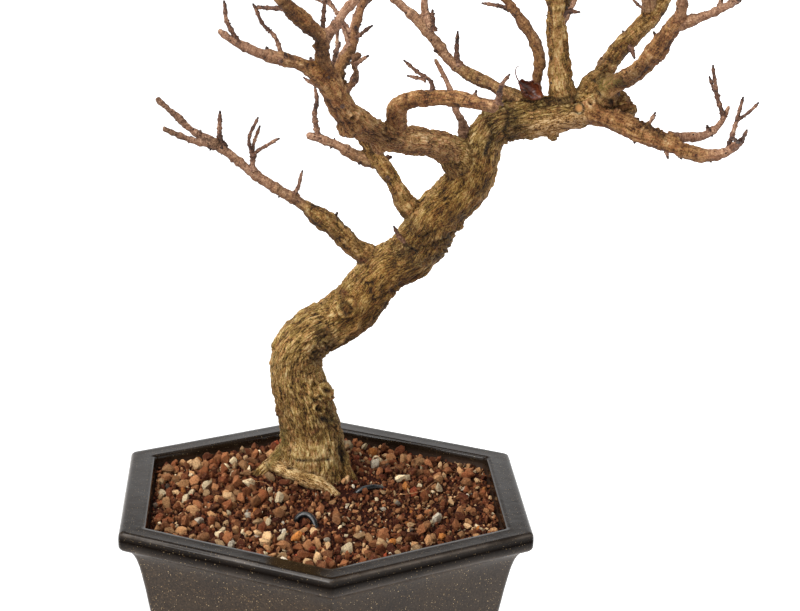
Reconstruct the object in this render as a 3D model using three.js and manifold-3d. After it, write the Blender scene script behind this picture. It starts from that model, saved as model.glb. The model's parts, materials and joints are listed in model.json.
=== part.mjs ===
// A leafless Adina pilulifera bonsai in a dark hexagonal stoneware pot.
// Millimetres, +Z up. The pot stands on the plane z = 0 and its middle is at x = y = 0 while it is built.
// The whole group is then moved along X, so that the origin is under the middle of its bounding box.
import * as THREE from "three";
import { mergeVertices } from "three/addons/utils/BufferGeometryUtils.js";
import Module from "manifold-3d";

const wasm = await Module();
wasm.setup();

// Driving dimensions.
const GAP = 0.3;
const CORNERS = 6;
const POT_HEIGHT = 79;
const LIP_APOTHEM = 99.6;
const LIP_WIDTH = 12.9;
const LIP_HEIGHT = 8.8;
const CORNER_RADIUS = 3.5;
const CORNER_POINTS = 3;
const FOOT_HEIGHT = 4;
const FOOT_WIDTH = 11;
const FOOT_GAP = 46;
const FOOT_TAPER = 1.2;
const BASE_APOTHEM = 80.5;
const FLOOR_TOP = 11;
const INNER_BASE_APOTHEM = 75.5;
const DRAIN_RADIUS = 10;
const WIRE_HOLE_RADIUS = 2.8;
const WIRE_HOLE_CIRCLE = 38;
const SCREEN_SIDE = 36;
const SCREEN_THICKNESS = 1.2;
const SCREEN_CELLS = 4;
const SCREEN_HOLE = 6;
const SCREEN_MARGIN = 0.4;
const SOIL_EDGE = 73.4;
const SOIL_MOUND = 3.6;
const MOUND_SPREAD = 40;
const MOUND_MIDDLE = [-4, 34];
const GRAIN_RINGS = 19;
const GRAIN_LATTICE_RADIUS = 104;
const GRAIN_RISE = [1.1, 2.8];
const GRAIN_DIP = [-1.1, -0.2];
const GRAIN_SHIFT = 1;
const GRAIN_SEED = 7331;
const WIRE_RADIUS = 1.3;
const WIRE_SIDES = 8;

// Sides of each kind of limb, and the distance between its rings.
const TRUNK_SIDES = 13;
const TRUNK_STEP = 10;
const ROOT_SIDES = 7;
const ROOT_STEP = 8;
const LIMB_STEP = 11;
const THICK_LIMB = { radius: 4.3, sides: 8 };
const MIDDLE_LIMB = { radius: 2.9, sides: 6 };
const THIN_LIMB_SIDES = 5;
const TWIG_SIDES = 4;
const SIDE_TWIG_SIDES = 3;

// The inside and outside lines of the pot, as [height, apothem], each from the bottom up.
const LIP_TOP = POT_HEIGHT;
const OUTSIDE = [
  [FOOT_HEIGHT, BASE_APOTHEM],
  [FOOT_HEIGHT + 3, BASE_APOTHEM + 1],
  [22, 82.8],
  [40, 86],
  [54, 88.8],
  [63, 91.2],
  [67.3, 93],
  [69, 95],
  [69.8, 97.6],
  [LIP_TOP - LIP_HEIGHT + 0.6, LIP_APOTHEM - 0.3],
  [LIP_TOP - 1.6, LIP_APOTHEM],
  [LIP_TOP - 0.5, LIP_APOTHEM - 0.4],
  [LIP_TOP, LIP_APOTHEM - 1.5],
];
const INSIDE = [
  [FLOOR_TOP, INNER_BASE_APOTHEM - 4],
  [FLOOR_TOP + 4, INNER_BASE_APOTHEM],
  [LIP_TOP - 3, LIP_APOTHEM - LIP_WIDTH - 0.2],
  [LIP_TOP - 0.7, LIP_APOTHEM - LIP_WIDTH],
  [LIP_TOP, LIP_APOTHEM - LIP_WIDTH + 0.9],
];

// Limbs, each as [x, y, z, radius] from where it leaves its parent's middle to its tip.
const TRUNK = [
  [-5, 33, 59, 14.5], [-4, 34, 76, 17], [-4, 34, 88, 16.4], [-5, 34, 98, 15.3], [-9, 33, 115, 14.6],
  [-14, 32, 132, 12.7], [-12, 31, 146, 12.9], [-6, 30, 154, 13.4], [4, 30, 160, 13.4],
  [15, 29, 168, 12.6], [22, 28, 179, 12.5], [31, 26, 189, 11.9], [41, 24, 196, 12.5],
  [48, 21, 207, 12.7], [54, 19, 219, 11.8], [61, 17, 226, 11.6], [69, 15, 237, 11],
  [73, 13, 249, 10], [76, 12, 258, 9.3], [82, 12, 265, 9.3], [91, 12, 268, 9.3],
  [101, 13, 269, 9.3], [112, 13, 271, 8.8], [123, 14, 273, 8.3], [134, 14, 276, 7.4], [147, 15, 278, 5.4],
];
const ROOTS = {
  left: [[-6, 35, 100, 10], [-17, 38, 88, 5.4], [-24, 37, 82, 4.2], [-31, 36, 76, 3.4], [-40, 38, 66, 2.6]],
  right: [[0, 33, 98, 9], [10, 31, 87, 5], [16, 28, 80, 4.2], [24, 28, 72, 3.2], [33, 30, 62, 2.4]],
  back: [[-4, 38, 95, 9], [-2, 50, 84, 5], [2, 58, 76, 4], [6, 68, 66, 2.8]],
  backLeft: [[-6, 38, 92, 8], [-16, 48, 82, 4.6], [-24, 56, 74, 3.6], [-32, 64, 66, 2.6]],
  crossing: [
    [-20, 38, 85, 3.6], [-26, 36, 80, 3], [-17, 25, 79, 3.1], [-7, 13, 79, 3.1], [0, 9, 79, 2.9],
    [8, 7, 77, 2.6], [11, 3, 71, 2.1],
  ],
};
const LIMBS = {
  left: [
    [29, 26, 188, 5], [18, 25, 197, 5], [12, 24, 201, 4.7], [3, 22, 211, 5], [-4, 20, 216, 4.7],
    [-13, 18, 224, 2.7], [-28, 15, 233, 2.2], [-40, 13, 242, 1.9], [-50, 11, 251, 1.8],
    [-55, 10, 255, 1.7], [-62, 9, 255, 1.4], [-70, 7, 259, 1.3], [-80, 6, 263, 1.1],
  ],
  leftFork: [[-54, 10, 254, 1.6], [-66, 13, 260, 1.3], [-74, 15, 268, 1.2], [-82, 16, 275, 1]],
  behind: [
    [51, 20, 212, 4.6], [38, 21, 221, 4.7], [30, 23, 235, 4.4], [23, 25, 245, 4.4], [19, 26, 254, 4.2],
    [11, 29, 267, 3.9], [5, 31, 278, 3.4], [5, 32, 288, 2.9], [11, 33, 297, 2.4], [12, 34, 305, 2],
    [15, 35, 316, 1.7], [18, 36, 328, 1.5], [16, 39, 342, 1.3], [20, 43, 356, 1],
  ],
  behindFork: [
    [23, 25, 244, 2.9], [13, 26, 247, 2.5], [6, 26, 251, 2.2], [-2, 26, 254, 2.1], [-10, 27, 256, 1.9],
  ],
  behindStrand: [
    [6, 31, 276, 2], [12, 28, 282, 1.7], [13, 27, 286, 1.5], [12, 26, 294, 1.4], [15, 25, 296, 1.1],
  ],
  front: [
    [69, 15, 242, 7.6], [58, 4, 253, 7.1], [46, -10, 260, 6.7], [35, -20, 263, 6.4], [26, -28, 266, 6.1],
    [13, -38, 276, 6], [8, -44, 281, 5.9], [2, -50, 289, 5.2], [-5, -56, 298, 4], [-13, -60, 305, 3.1],
    [-25, -64, 309, 2.5], [-35, -67, 312, 1.8], [-45, -69, 317, 1.5], [-52, -70, 322, 1.2],
  ],
  frontUp: [
    [1, -51, 291, 3.8], [-6, -58, 307, 3], [-7, -61, 318, 3], [-15, -65, 326, 3.6], [-21, -68, 332, 3.4],
    [-28, -71, 340, 2.4], [-33, -72, 352, 1.8], [-35, -70, 366, 1.3],
  ],
  frontUpRight: [
    [-7, -60, 316, 2.4], [-1, -62, 323, 2.2], [3, -64, 330, 2], [8, -66, 336, 1.9], [15, -66, 347, 1.5],
    [14, -62, 361, 1.1],
  ],
  frontSide: [
    [32, -21, 264, 3.4], [30, -28, 274, 3.3], [30, -34, 282, 3.2], [35, -40, 287, 3], [45, -48, 290, 3],
    [56, -55, 291, 3], [65, -60, 290, 2.8], [72, -64, 289, 2.6],
  ],
  greenTip: [
    [70, 13, 250, 2.8], [66, 11, 259, 2.4], [64, 9, 267, 1.9], [61, 9, 272, 1.7], [57, 8, 284, 1.4],
    [50, 8, 297, 1],
  ],
  leftUp: [
    [95, 12, 270, 4], [91, 12, 277, 3.6], [78, 13, 284, 3.2], [67, 15, 289, 3.4], [58, 17, 295, 2.5],
    [52, 19, 305, 2.4], [43, 21, 316, 2.2], [36, 22, 322, 1.9], [26, 22, 330, 1.5], [15, 20, 341, 1],
  ],
  leftUpFork: [[47, 20, 311, 2.2], [45, 23, 324, 1.8], [49, 27, 338, 1.5], [46, 31, 352, 1.1]],
  thinUp: [
    [103, 14, 270, 2.3], [101, 17, 282, 2.1], [101, 18, 288, 2.7], [102, 19, 295, 2.9], [100, 20, 303, 2.8],
    [95, 21, 311, 2.7], [89, 22, 319, 2.5], [83, 23, 327, 2.1], [76, 22, 341, 1.7], [75, 18, 357, 1.3],
    [70, 16, 371, 1],
  ],
  upright: [
    [115, 13, 268, 6], [113, 12, 280, 5.8], [111, 12, 292, 5.3], [110, 12, 302, 5.1], [108, 12, 314, 5.2],
    [108, 12, 326, 5.2], [104, 9, 341, 4], [101, 4, 357, 3], [103, -2, 373, 2.1], [101, -6, 388, 1.3],
  ],
  uprightFork: [[108, 12, 322, 4.2], [117, 15, 338, 3.4], [124, 20, 354, 2.4], [127, 25, 371, 1.4]],
  sharpRight: [
    [120, 14, 272, 5], [123, 15, 283, 4.6], [131, 17, 290, 4.6], [138, 19, 302, 4.6], [147, 20, 311, 4.6],
    [157, 21, 321, 4], [164, 23, 334, 3.2], [168, 27, 349, 2.3], [175, 30, 364, 1.4],
  ],
  sharpRightFork: [[155, 21, 319, 3.2], [153, 15, 334, 2.4], [156, 9, 349, 1.8], [153, 5, 364, 1.2]],
  nearRight: [
    [131, 13, 276, 5], [135, 2, 288, 4.3], [142, -8, 295, 4.3], [149, -18, 307, 4.2], [155, -26, 318, 4],
    [160, -32, 327, 3], [160, -40, 341, 2.2], [166, -47, 355, 1.4],
  ],
  nearRightFork: [[157, -29, 321, 2.8], [168, -33, 325, 2.4], [179, -38, 331, 1.9], [190, -44, 340, 1.2]],
  lowRight: [
    [126, 13, 273, 5.2], [132, 4, 271, 4.6], [141, -4, 270, 4.3], [149, -10, 267, 4.1],
    [159, -15, 264, 3.8], [167, -20, 261, 3.5], [177, -26, 259, 3], [186, -32, 262, 2.2],
    [192, -35, 268, 1.4],
  ],
  lowRightFork: [
    [160, -16, 264, 2.6], [169, -14, 265, 2.4], [179, -13, 266, 2], [187, -9, 271, 1.5], [191, -7, 279, 1],
  ],
  backLeft: [
    [66, 15, 238, 3.4], [60, 26, 246, 3.1], [50, 38, 249, 3], [37, 50, 250, 2.8], [26, 58, 253, 2.5],
    [16, 64, 259, 2.3], [8, 69, 266, 2], [2, 73, 274, 1.8], [0, 76, 285, 1.6], [-4, 80, 298, 1.2],
  ],
  backLeftFork: [
    [4, 71, 272, 1.9], [5, 76, 282, 1.6], [11, 82, 292, 1.5], [14, 86, 303, 1.3], [18, 90, 316, 1],
  ],
  backUp: [
    [114, 14, 270, 3.6], [114, 26, 282, 3.3], [114, 36, 289, 3.1], [114, 46, 297, 3], [114, 58, 307, 2.8],
    [113, 66, 320, 2.4], [107, 72, 335, 1.8], [106, 80, 350, 1.2],
  ],
  backUpFork: [[114, 56, 305, 2.3], [122, 60, 316, 1.9], [128, 68, 329, 1.5], [130, 77, 343, 1.1]],
  backRight: [
    [127, 15, 275, 3.4], [133, 28, 288, 3.1], [142, 40, 298, 3], [153, 52, 306, 2.7], [164, 58, 315, 2.2],
    [173, 60, 328, 1.6], [178, 66, 342, 1.1],
  ],
};

// Short twigs and spurs, each with its foot on the middle of a limb.
const TWIGS = {
  leftSpur: [[-18, 17, 227, 1], [-15, 16, 231, 0.9], [-13, 16, 239, 0.75]],
  tridentStalk: [[-37, 13, 240, 1.3], [-37, 13, 248, 1.1]],
  tridentA: [[-37, 13, 247, 0.9], [-39, 12, 256, 0.8], [-35, 12, 266, 0.75]],
  tridentB: [[-37, 13, 247, 0.9], [-37, 14, 252, 0.8], [-34, 16, 261, 0.75]],
  tridentC: [[-37, 13, 247, 0.9], [-35, 11, 250, 0.85], [-30, 9, 254, 0.8], [-25, 8, 257, 0.75]],
  leftEnd: [[-51, 11, 252, 1.3], [-53, 10, 257, 1.3], [-53, 10, 269, 0.9]],
  trunkStub: [[39, 15, 202, 2], [35, 11, 209, 1.1], [31, 9, 215, 0.75]],
  behindSpur: [[12, 26, 291, 1.2], [18, 25, 295, 0.9]],
  behindLow: [[19, 25, 252, 1.2], [11, 22, 257, 0.8]],
  behindSide: [[10, 33, 299, 1.3], [6, 34, 309, 0.9]],
  behindRight: [[12, 34, 302, 1.2], [15, 31, 305, 1], [20, 30, 309, 0.8]],
  forkTwig: [[-5, 27, 254, 1.5], [-7, 25, 266, 1.2], [-6, 25, 273, 1], [-7, 25, 279, 0.8]],
  leftUpTwig: [[62, 16, 293, 1.5], [61, 15, 299, 1.2], [61, 14, 309, 0.8]],
  leftUpStub: [[49, 20, 309, 1.6], [49, 20, 318, 1]],
  thinTwig: [[90, 22, 318, 1.4], [82, 23, 321, 1], [74, 24, 322, 0.8]],
  uprightTwig: [[110, 12, 318, 1.6], [114, 9, 321, 1.2], [118, 8, 321, 0.9]],
  sharpSpur: [[143, 19, 306, 1.8], [146, 14, 302, 1.2], [147, 12, 299, 0.9]],
  frontTipTwig: [[-44, -69, 316, 1.2], [-47, -69, 322, 1], [-49, -70, 327, 0.9], [-50, -70, 334, 0.8]],
  frontBudTwig: [[-24, -64, 309, 1.2], [-27, -62, 317, 0.9], [-33, -62, 324, 0.8], [-37, -63, 332, 0.75]],
  frontDark: [[-19, -67, 330, 1.3], [-26, -64, 331, 1], [-36, -62, 331, 0.8]],
  frontRising: [[-6, -60, 317, 1.3], [-6, -57, 326, 1], [-5, -55, 336, 0.8]],
  sideTwig: [[45, -48, 290, 1.4], [44, -46, 296, 0.9], [38, -45, 300, 0.85], [32, -45, 305, 0.75]],
  sideSmall: [[42, -45, 297, 0.9], [34, -44, 298, 0.75]],
  sideEnd: [[73, -63, 289, 1.5], [75, -62, 298, 0.95], [78, -61, 302, 0.75]],
  lowSpur: [[148, -9, 267, 1.4], [153, -8, 271, 1], [155, -8, 275, 0.8]],
  lowStub: [[159, -15, 264, 1.5], [161, -16, 256, 1]],
};

// Swellings left by old cuts, as [x, y, z, radius].
const KNOTS = [
  [0, 26, 124, 5.4], [12, 20, 169, 4.8], [63, 14, 217, 5.6], [25, -29, 269, 6.9], [143, 14, 277, 7.2],
];

// Shoots by rule: limb name, number of shoots, and the share of the limb where they start and end.
const SHOOT_HOSTS = [
  ["behind", 3, 0.84, 0.98], ["frontUp", 4, 0.72, 0.97], ["frontUpRight", 2, 0.62, 0.96],
  ["leftUp", 3, 0.84, 0.97], ["leftUpFork", 2, 0.5, 0.96], ["thinUp", 3, 0.76, 0.97],
  ["upright", 4, 0.68, 0.97], ["uprightFork", 3, 0.4, 0.96], ["sharpRight", 3, 0.76, 0.97],
  ["sharpRightFork", 3, 0.45, 0.96], ["nearRight", 3, 0.74, 0.97], ["nearRightFork", 2, 0.5, 0.96],
  ["lowRight", 2, 0.86, 0.97], ["lowRightFork", 1, 0.8, 0.95], ["backLeft", 3, 0.72, 0.97],
  ["backLeftFork", 2, 0.55, 0.96], ["backUp", 3, 0.66, 0.97], ["backUpFork", 2, 0.5, 0.95],
  ["backRight", 3, 0.6, 0.97],
];
const SHOOT_SEED = 20417;
const SHOOT_LENGTH = [17, 27];
const SHOOT_RADIUS = [1.15, 0.75];
const SHOOT_SHARES = [0, 0.36, 0.7, 1];
const SHOOT_RISE = 0.3;
const SHOOT_BEND = 0.32;
const SIDE_TWIG_SHARE = 0.75;
const SIDE_TWIG_LENGTH = [0.35, 0.6];
const SIDE_TWIG_RISE = 0.4;
const SIDE_TWIG_SAG = 0.8;
const GOLDEN_ANGLE = Math.PI * (3 - Math.sqrt(5));

// The dead leaf: its middle, the way that it lies and its own sizes.
const LEAF_MIDDLE = [94.5, 8, 282.5];
const LEAF_ALONG = new THREE.Vector3(0.76, 0.1, -0.64).normalize();
const LEAF_ACROSS = new THREE.Vector3(0.6, 0.28, 0.75).normalize();
const LEAF_LENGTH = 14;
const LEAF_HALF_WIDTH = 6;
const LEAF_THICKNESS = 0.8;
const LEAF_ROLL = 1.35;
const LEAF_ARCH = 1.6;
const LEAF_WAVE = 0.7;
const LEAF_ROWS = 7;
const LEAF_COLUMNS = 5;
const LEAF_STALK = [
  [-6.5, 0, 0.4, 0.5], [-9, 0.3, 1.2, 0.5], [-10.5, 0.6, 3.2, 0.5], [-9.6, 0.8, 5.2, 0.5],
];
const LEAF_NEIGHBOURS = ["thinUp", "leftUp", "upright"];

// A seeded draw between 0 and 1, the same on every run.
function makeDraw(seed) {
  let state = seed;
  return () => {
    state = (state * 1664525 + 1013904223) % 4294967296;
    return state / 4294967296;
  };
}

// A closed geometry, as a solid that can be joined and cut.
function solidOf(geometry) {
  const bare = geometry.clone();
  bare.deleteAttribute("normal");
  bare.deleteAttribute("uv");
  const merged = mergeVertices(bare, 1e-4);
  return new wasm.Manifold(
    new wasm.Mesh({
      numProp: 3,
      vertProperties: new Float32Array(merged.attributes.position.array),
      triVerts: new Uint32Array(merged.index.array),
    }),
  );
}

// The largest body of a solid, as a geometry. Loose scraps are dropped.
function geometryOf(solid) {
  const bodies = solid.decompose().sort((a, b) => b.volume() - a.volume());
  const mesh = bodies[0].getMesh();
  const positions = new Float32Array(mesh.numVert * 3);
  for (let i = 0; i < mesh.numVert; i++) {
    positions.set(mesh.vertProperties.subarray(i * mesh.numProp, i * mesh.numProp + 3), i * 3);
  }
  const geometry = new THREE.BufferGeometry();
  geometry.setAttribute("position", new THREE.BufferAttribute(positions, 3));
  geometry.setIndex(new THREE.BufferAttribute(mesh.triVerts, 1));
  geometry.computeVertexNormals();
  return geometry;
}

// The middle of a ring of points.
function middleOf(ring) {
  return ring.reduce((sum, p) => sum.add(p), new THREE.Vector3()).divideScalar(ring.length);
}

// A closed skin over rings of equal count, from the middle of the first ring to the end point.
function skin(rings, end = middleOf(rings[rings.length - 1])) {
  const count = rings[0].length;
  const points = [...rings.flat(), middleOf(rings[0]), end];
  const [startMiddle, endMiddle] = [points.length - 2, points.length - 1];
  const last = (rings.length - 1) * count;
  const index = [];
  for (let r = 0; r < last; r += count) {
    for (let k = 0; k < count; k++) {
      const a = r + k;
      const b = r + ((k + 1) % count);
      index.push(a, b, b + count, a, b + count, a + count);
    }
  }
  for (let k = 0; k < count; k++) {
    const next = (k + 1) % count;
    index.push(startMiddle, next, k, endMiddle, last + k, last + next);
  }
  return new THREE.BufferGeometry().setFromPoints(points).setIndex(index);
}

// A ring of points round a place, in the plane of two directions.
function circle(middle, across, side, sides, reach) {
  return Array.from({ length: sides }, (_, k) => {
    const angle = (k * 2 * Math.PI) / sides;
    return middle
      .clone()
      .addScaledVector(across, reach(angle) * Math.cos(angle))
      .addScaledVector(side, reach(angle) * Math.sin(angle));
  });
}

// One hexagonal ring with rounded corners. Two of its corners lie on Y.
function hexagonRing(height, apothem) {
  const middle = (apothem - CORNER_RADIUS) / Math.cos(Math.PI / CORNERS);
  const points = [];
  for (let corner = 0; corner < CORNERS; corner++) {
    const angle = Math.PI / 2 + (corner * 2 * Math.PI) / CORNERS;
    for (let k = 0; k < CORNER_POINTS; k++) {
      const turn = angle + (k / (CORNER_POINTS - 1) - 0.5) * ((2 * Math.PI) / CORNERS);
      const x = middle * Math.cos(angle) + CORNER_RADIUS * Math.cos(turn);
      const y = middle * Math.sin(angle) + CORNER_RADIUS * Math.sin(turn);
      points.push(new THREE.Vector3(x, y, height));
    }
  }
  return points;
}

function hexagonLoft(profile) {
  return solidOf(skin(profile.map(([height, apothem]) => hexagonRing(height, apothem))));
}

function post(radius, from, to, sides) {
  const geometry = new THREE.CylinderGeometry(radius, radius, to - from, sides);
  geometry.rotateX(Math.PI / 2);
  return solidOf(geometry.translate(0, 0, (from + to) / 2));
}

function block(width, depth, from, to) {
  return solidOf(new THREE.BoxGeometry(width, depth, to - from).translate(0, 0, (from + to) / 2));
}

// Places on the circle of wire holes. The first is at the back, and the fourth at the front.
function wireHole(number) {
  const angle = Math.PI / 2 + (number * 2 * Math.PI) / CORNERS;
  return [WIRE_HOLE_CIRCLE * Math.cos(angle), WIRE_HOLE_CIRCLE * Math.sin(angle)];
}

// A foot under each corner: a hexagonal rim, cut through the middle of each side.
function makeFeet() {
  const inner = BASE_APOTHEM - FOOT_WIDTH;
  let feet = hexagonLoft([[0, BASE_APOTHEM - FOOT_TAPER], [FOOT_HEIGHT + 1, BASE_APOTHEM]]);
  feet = feet.subtract(hexagonLoft([[-1, inner], [FOOT_HEIGHT + 2, inner]]));
  const gap = block(3 * BASE_APOTHEM, FOOT_GAP, -1, FOOT_HEIGHT);
  for (let k = 0; k < CORNERS / 2; k++) {
    feet = feet.subtract(gap.rotate([0, 0, (k * 360) / CORNERS]));
  }
  return feet;
}

// The pot: a flared hexagonal bowl with a broad lip, corner feet, a drain hole and six wire holes.
function makePot() {
  let pot = hexagonLoft([...OUTSIDE, ...[...INSIDE].reverse()]).add(makeFeet());
  pot = pot.subtract(post(DRAIN_RADIUS, 0, FLOOR_TOP + 1, 24));
  const hole = post(WIRE_HOLE_RADIUS, 0, FLOOR_TOP + 1, 12);
  for (let k = 0; k < CORNERS; k++) {
    pot = pot.subtract(hole.translate([...wireHole(k), 0]));
  }
  return geometryOf(pot);
}

// The plastic mesh over the drain hole.
function makeScreen() {
  const bottom = FLOOR_TOP + GAP;
  const pitch = SCREEN_SIDE / (SCREEN_CELLS + SCREEN_MARGIN);
  const middle = (SCREEN_CELLS - 1) / 2;
  const hole = block(SCREEN_HOLE, SCREEN_HOLE, bottom - 1, bottom + SCREEN_THICKNESS + 1);
  let screen = block(SCREEN_SIDE, SCREEN_SIDE, bottom, bottom + SCREEN_THICKNESS);
  for (let i = 0; i < SCREEN_CELLS; i++) {
    for (let j = 0; j < SCREEN_CELLS; j++) {
      screen = screen.subtract(hole.translate([(i - middle) * pitch, (j - middle) * pitch, 0]));
    }
  }
  return geometryOf(screen);
}

// A limb's middle line and radius at even steps, with directions across it that don't twist.
function limbLine(route, spacing) {
  const curve = new THREE.CatmullRomCurve3(
    route.map(([x, y, z]) => new THREE.Vector3(x, y, z)),
    false,
    "centripetal",
  );
  const fewest = route.length > 3 ? 2 : 1;
  const steps = Math.max(fewest, Math.round(curve.getLength() / spacing));
  const line = [];
  let across = new THREE.Vector3(0, 1, 0);
  for (let i = 0; i <= steps; i++) {
    const t = curve.getUtoTmapping(i / steps);
    const place = t * (route.length - 1);
    const from = Math.min(Math.floor(place), route.length - 2);
    const radius = THREE.MathUtils.lerp(route[from][3], route[from + 1][3], place - from);
    const along = curve.getTangent(t).normalize();
    across = across.clone().addScaledVector(along, -across.dot(along)).normalize();
    const side = new THREE.Vector3().crossVectors(along, across);
    line.push({ point: curve.getPoint(t), radius, along, across, side });
  }
  return line;
}

// A limb with a blunt tip. swell gives the share of the radius at an angle and a place along the limb.
function limb(route, sides, spacing, grow = 0, swell = () => 1) {
  const line = limbLine(route, spacing);
  const [start, tip] = [line[0], line[line.length - 1]];
  start.point.addScaledVector(start.along, -grow);
  const rings = line.map((at) =>
    circle(at.point, at.across, at.side, sides, (angle) => at.radius * swell(angle, at.point.z) + grow),
  );
  return solidOf(skin(rings, tip.point.clone().addScaledVector(tip.along, 0.7 * tip.radius + grow)));
}

function limbSides(route) {
  const radius = route[0][3];
  if (radius > THICK_LIMB.radius) return THICK_LIMB.sides;
  return radius > MIDDLE_LIMB.radius ? MIDDLE_LIMB.sides : THIN_LIMB_SIDES;
}

// Shallow lengthwise ribs and hollows of the old trunk.
function trunkSwell(angle, z) {
  return (
    1 +
    0.045 * Math.sin(3 * angle + z / 21) +
    0.03 * Math.sin(5 * angle - z / 13 + 1) +
    0.02 * Math.sin(2 * angle + z / 5.5)
  );
}

// The trunk with its roots, grown outwards by the given gap.
function trunkAndRoots(grow) {
  return Object.values(ROOTS).reduce(
    (sum, route) => sum.add(limb(route, ROOT_SIDES, ROOT_STEP, grow)),
    limb(TRUNK, TRUNK_SIDES, TRUNK_STEP, grow, trunkSwell),
  );
}

// One shoot: it leaves its limb sideways, bends upwards and ends blunt. It may carry a side twig.
function shootFrom(at, turn, draw) {
  const between = ([low, high]) => THREE.MathUtils.lerp(low, high, draw());
  const heading = at.across
    .clone()
    .multiplyScalar(0.85 * Math.cos(turn))
    .addScaledVector(at.side, 0.85 * Math.sin(turn))
    .addScaledVector(at.along, 0.5);
  heading.z += SHOOT_RISE;
  heading.normalize();
  const length = between(SHOOT_LENGTH);
  const bend = new THREE.Vector3(draw() - 0.5, draw() - 0.5, 0.5 + 0.5 * draw());
  const thick = Math.min(SHOOT_RADIUS[0], 0.85 * at.radius);
  const radii = [thick, thick, 0.9, SHOOT_RADIUS[1]];
  const points = SHOOT_SHARES.map((s) =>
    at.point
      .clone()
      .addScaledVector(heading, s * length)
      .addScaledVector(bend, SHOOT_BEND * s * s * length),
  );
  const routes = [points.map((p, i) => [p.x, p.y, p.z, radii[i]])];
  if (draw() > SIDE_TWIG_SHARE) return routes;
  const fork = points[1].clone().lerp(points[2], draw());
  const aside = heading.clone().cross(bend).normalize();
  aside.multiplyScalar(draw() < 0.5 ? -1 : 1).addScaledVector(heading, 0.9);
  aside.z += SIDE_TWIG_RISE;
  aside.normalize();
  const reach = between(SIDE_TWIG_LENGTH) * length;
  const middle = fork.clone().addScaledVector(aside, 0.5 * reach);
  middle.z -= SIDE_TWIG_SAG;
  const end = fork.clone().addScaledVector(aside, reach);
  routes.push([fork, middle, end].map((p) => [p.x, p.y, p.z, SHOOT_RADIUS[1]]));
  return routes;
}

// The shoots of one limb, turned by the golden angle from each to the next.
function shootsOn(route, count, from, to, draw) {
  const line = limbLine(route, 3);
  return Array.from({ length: count }, (_, k) => {
    const share = from + ((to - from) * (k + 0.6 * draw())) / count;
    const at = line[Math.round(share * (line.length - 1))];
    return shootFrom(at, k * GOLDEN_ANGLE + 2 * draw(), draw);
  }).flat();
}

// The tree: trunk, roots, limbs, twigs and knots, all one piece of wood.
function makeTree() {
  let wood = trunkAndRoots(0);
  for (const route of Object.values(LIMBS)) {
    wood = wood.add(limb(route, limbSides(route), LIMB_STEP));
  }
  for (const route of Object.values(TWIGS)) {
    wood = wood.add(limb(route, TWIG_SIDES, LIMB_STEP));
  }
  for (const [x, y, z, radius] of KNOTS) {
    wood = wood.add(solidOf(new THREE.IcosahedronGeometry(radius, 1).translate(x, y, z)));
  }
  const draw = makeDraw(SHOOT_SEED);
  for (const [name, count, from, to] of SHOOT_HOSTS) {
    for (const route of shootsOn(LIMBS[name], count, from, to, draw)) {
      const sides = route.length > 3 ? TWIG_SIDES : SIDE_TWIG_SIDES;
      wood = wood.add(limb(route, sides, LIMB_STEP));
    }
  }
  return wood;
}

// The tie wire: under the floor, up through a wire hole, over the soil, under the trunk's front,
// over the soil again in an arch, and down through the front hole.
function wireRoute() {
  const [right, front] = [wireHole(5), wireHole(3)];
  const under = FOOT_HEIGHT - WIRE_RADIUS - 0.5;
  return [
    [right[0] - 22, right[1] - 38, under],
    [right[0] - 2, right[1] - 3.5, under],
    [right[0] - 0.4, right[1] - 0.7, under + 0.9],
    [...right, under + 3],
    [...right, 68],
    [32, 18, 75],
    [28.5, 14, 78.4],
    [23, 10, 79.2],
    [18, 9, 77.4],
    [15.5, 9, 73.5],
    [14, 6.5, 67],
    [10, 0, 61],
    [3, -9, 58],
    [-6, -19, 60],
    [-11, -25, 66],
    [-12.6, -27.4, 73],
    [-11.6, -27.8, 77.4],
    [-8.6, -27.6, 79.6],
    [-5, -28, 79.9],
    [-2, -31, 78.8],
    [-0.4, -35, 75.8],
    [...front, 70],
    [...front, under + 3],
    [front[0] + 0.4, front[1] + 0.7, under + 0.9],
    [front[0] + 2, front[1] + 3.5, under],
    [front[0] + 8, front[1] + 14, under],
  ];
}

// A tube of even radius through the given points.
function tube(route, radius) {
  const points = route.map(([x, y, z]) => new THREE.Vector3(x, y, z));
  let across = new THREE.Vector3(0.3, -0.2, 1);
  const rings = points.map((p, i) => {
    const into = p.clone().sub(points[Math.max(i - 1, 0)]).normalize();
    const out = points[Math.min(i + 1, points.length - 1)].clone().sub(p).normalize();
    const along = into.add(out).normalize();
    across = across.clone().addScaledVector(along, -across.dot(along)).normalize();
    const side = new THREE.Vector3().crossVectors(along, across);
    return circle(p, across, side, WIRE_SIDES, () => radius);
  });
  return skin(rings);
}

// The height of the soil under its grains, highest round the trunk.
function soilHeight(x, y) {
  const away = Math.hypot(x - MOUND_MIDDLE[0], y - MOUND_MIDDLE[1]);
  return SOIL_EDGE + SOIL_MOUND * Math.exp(-((away / MOUND_SPREAD) ** 2));
}

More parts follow.
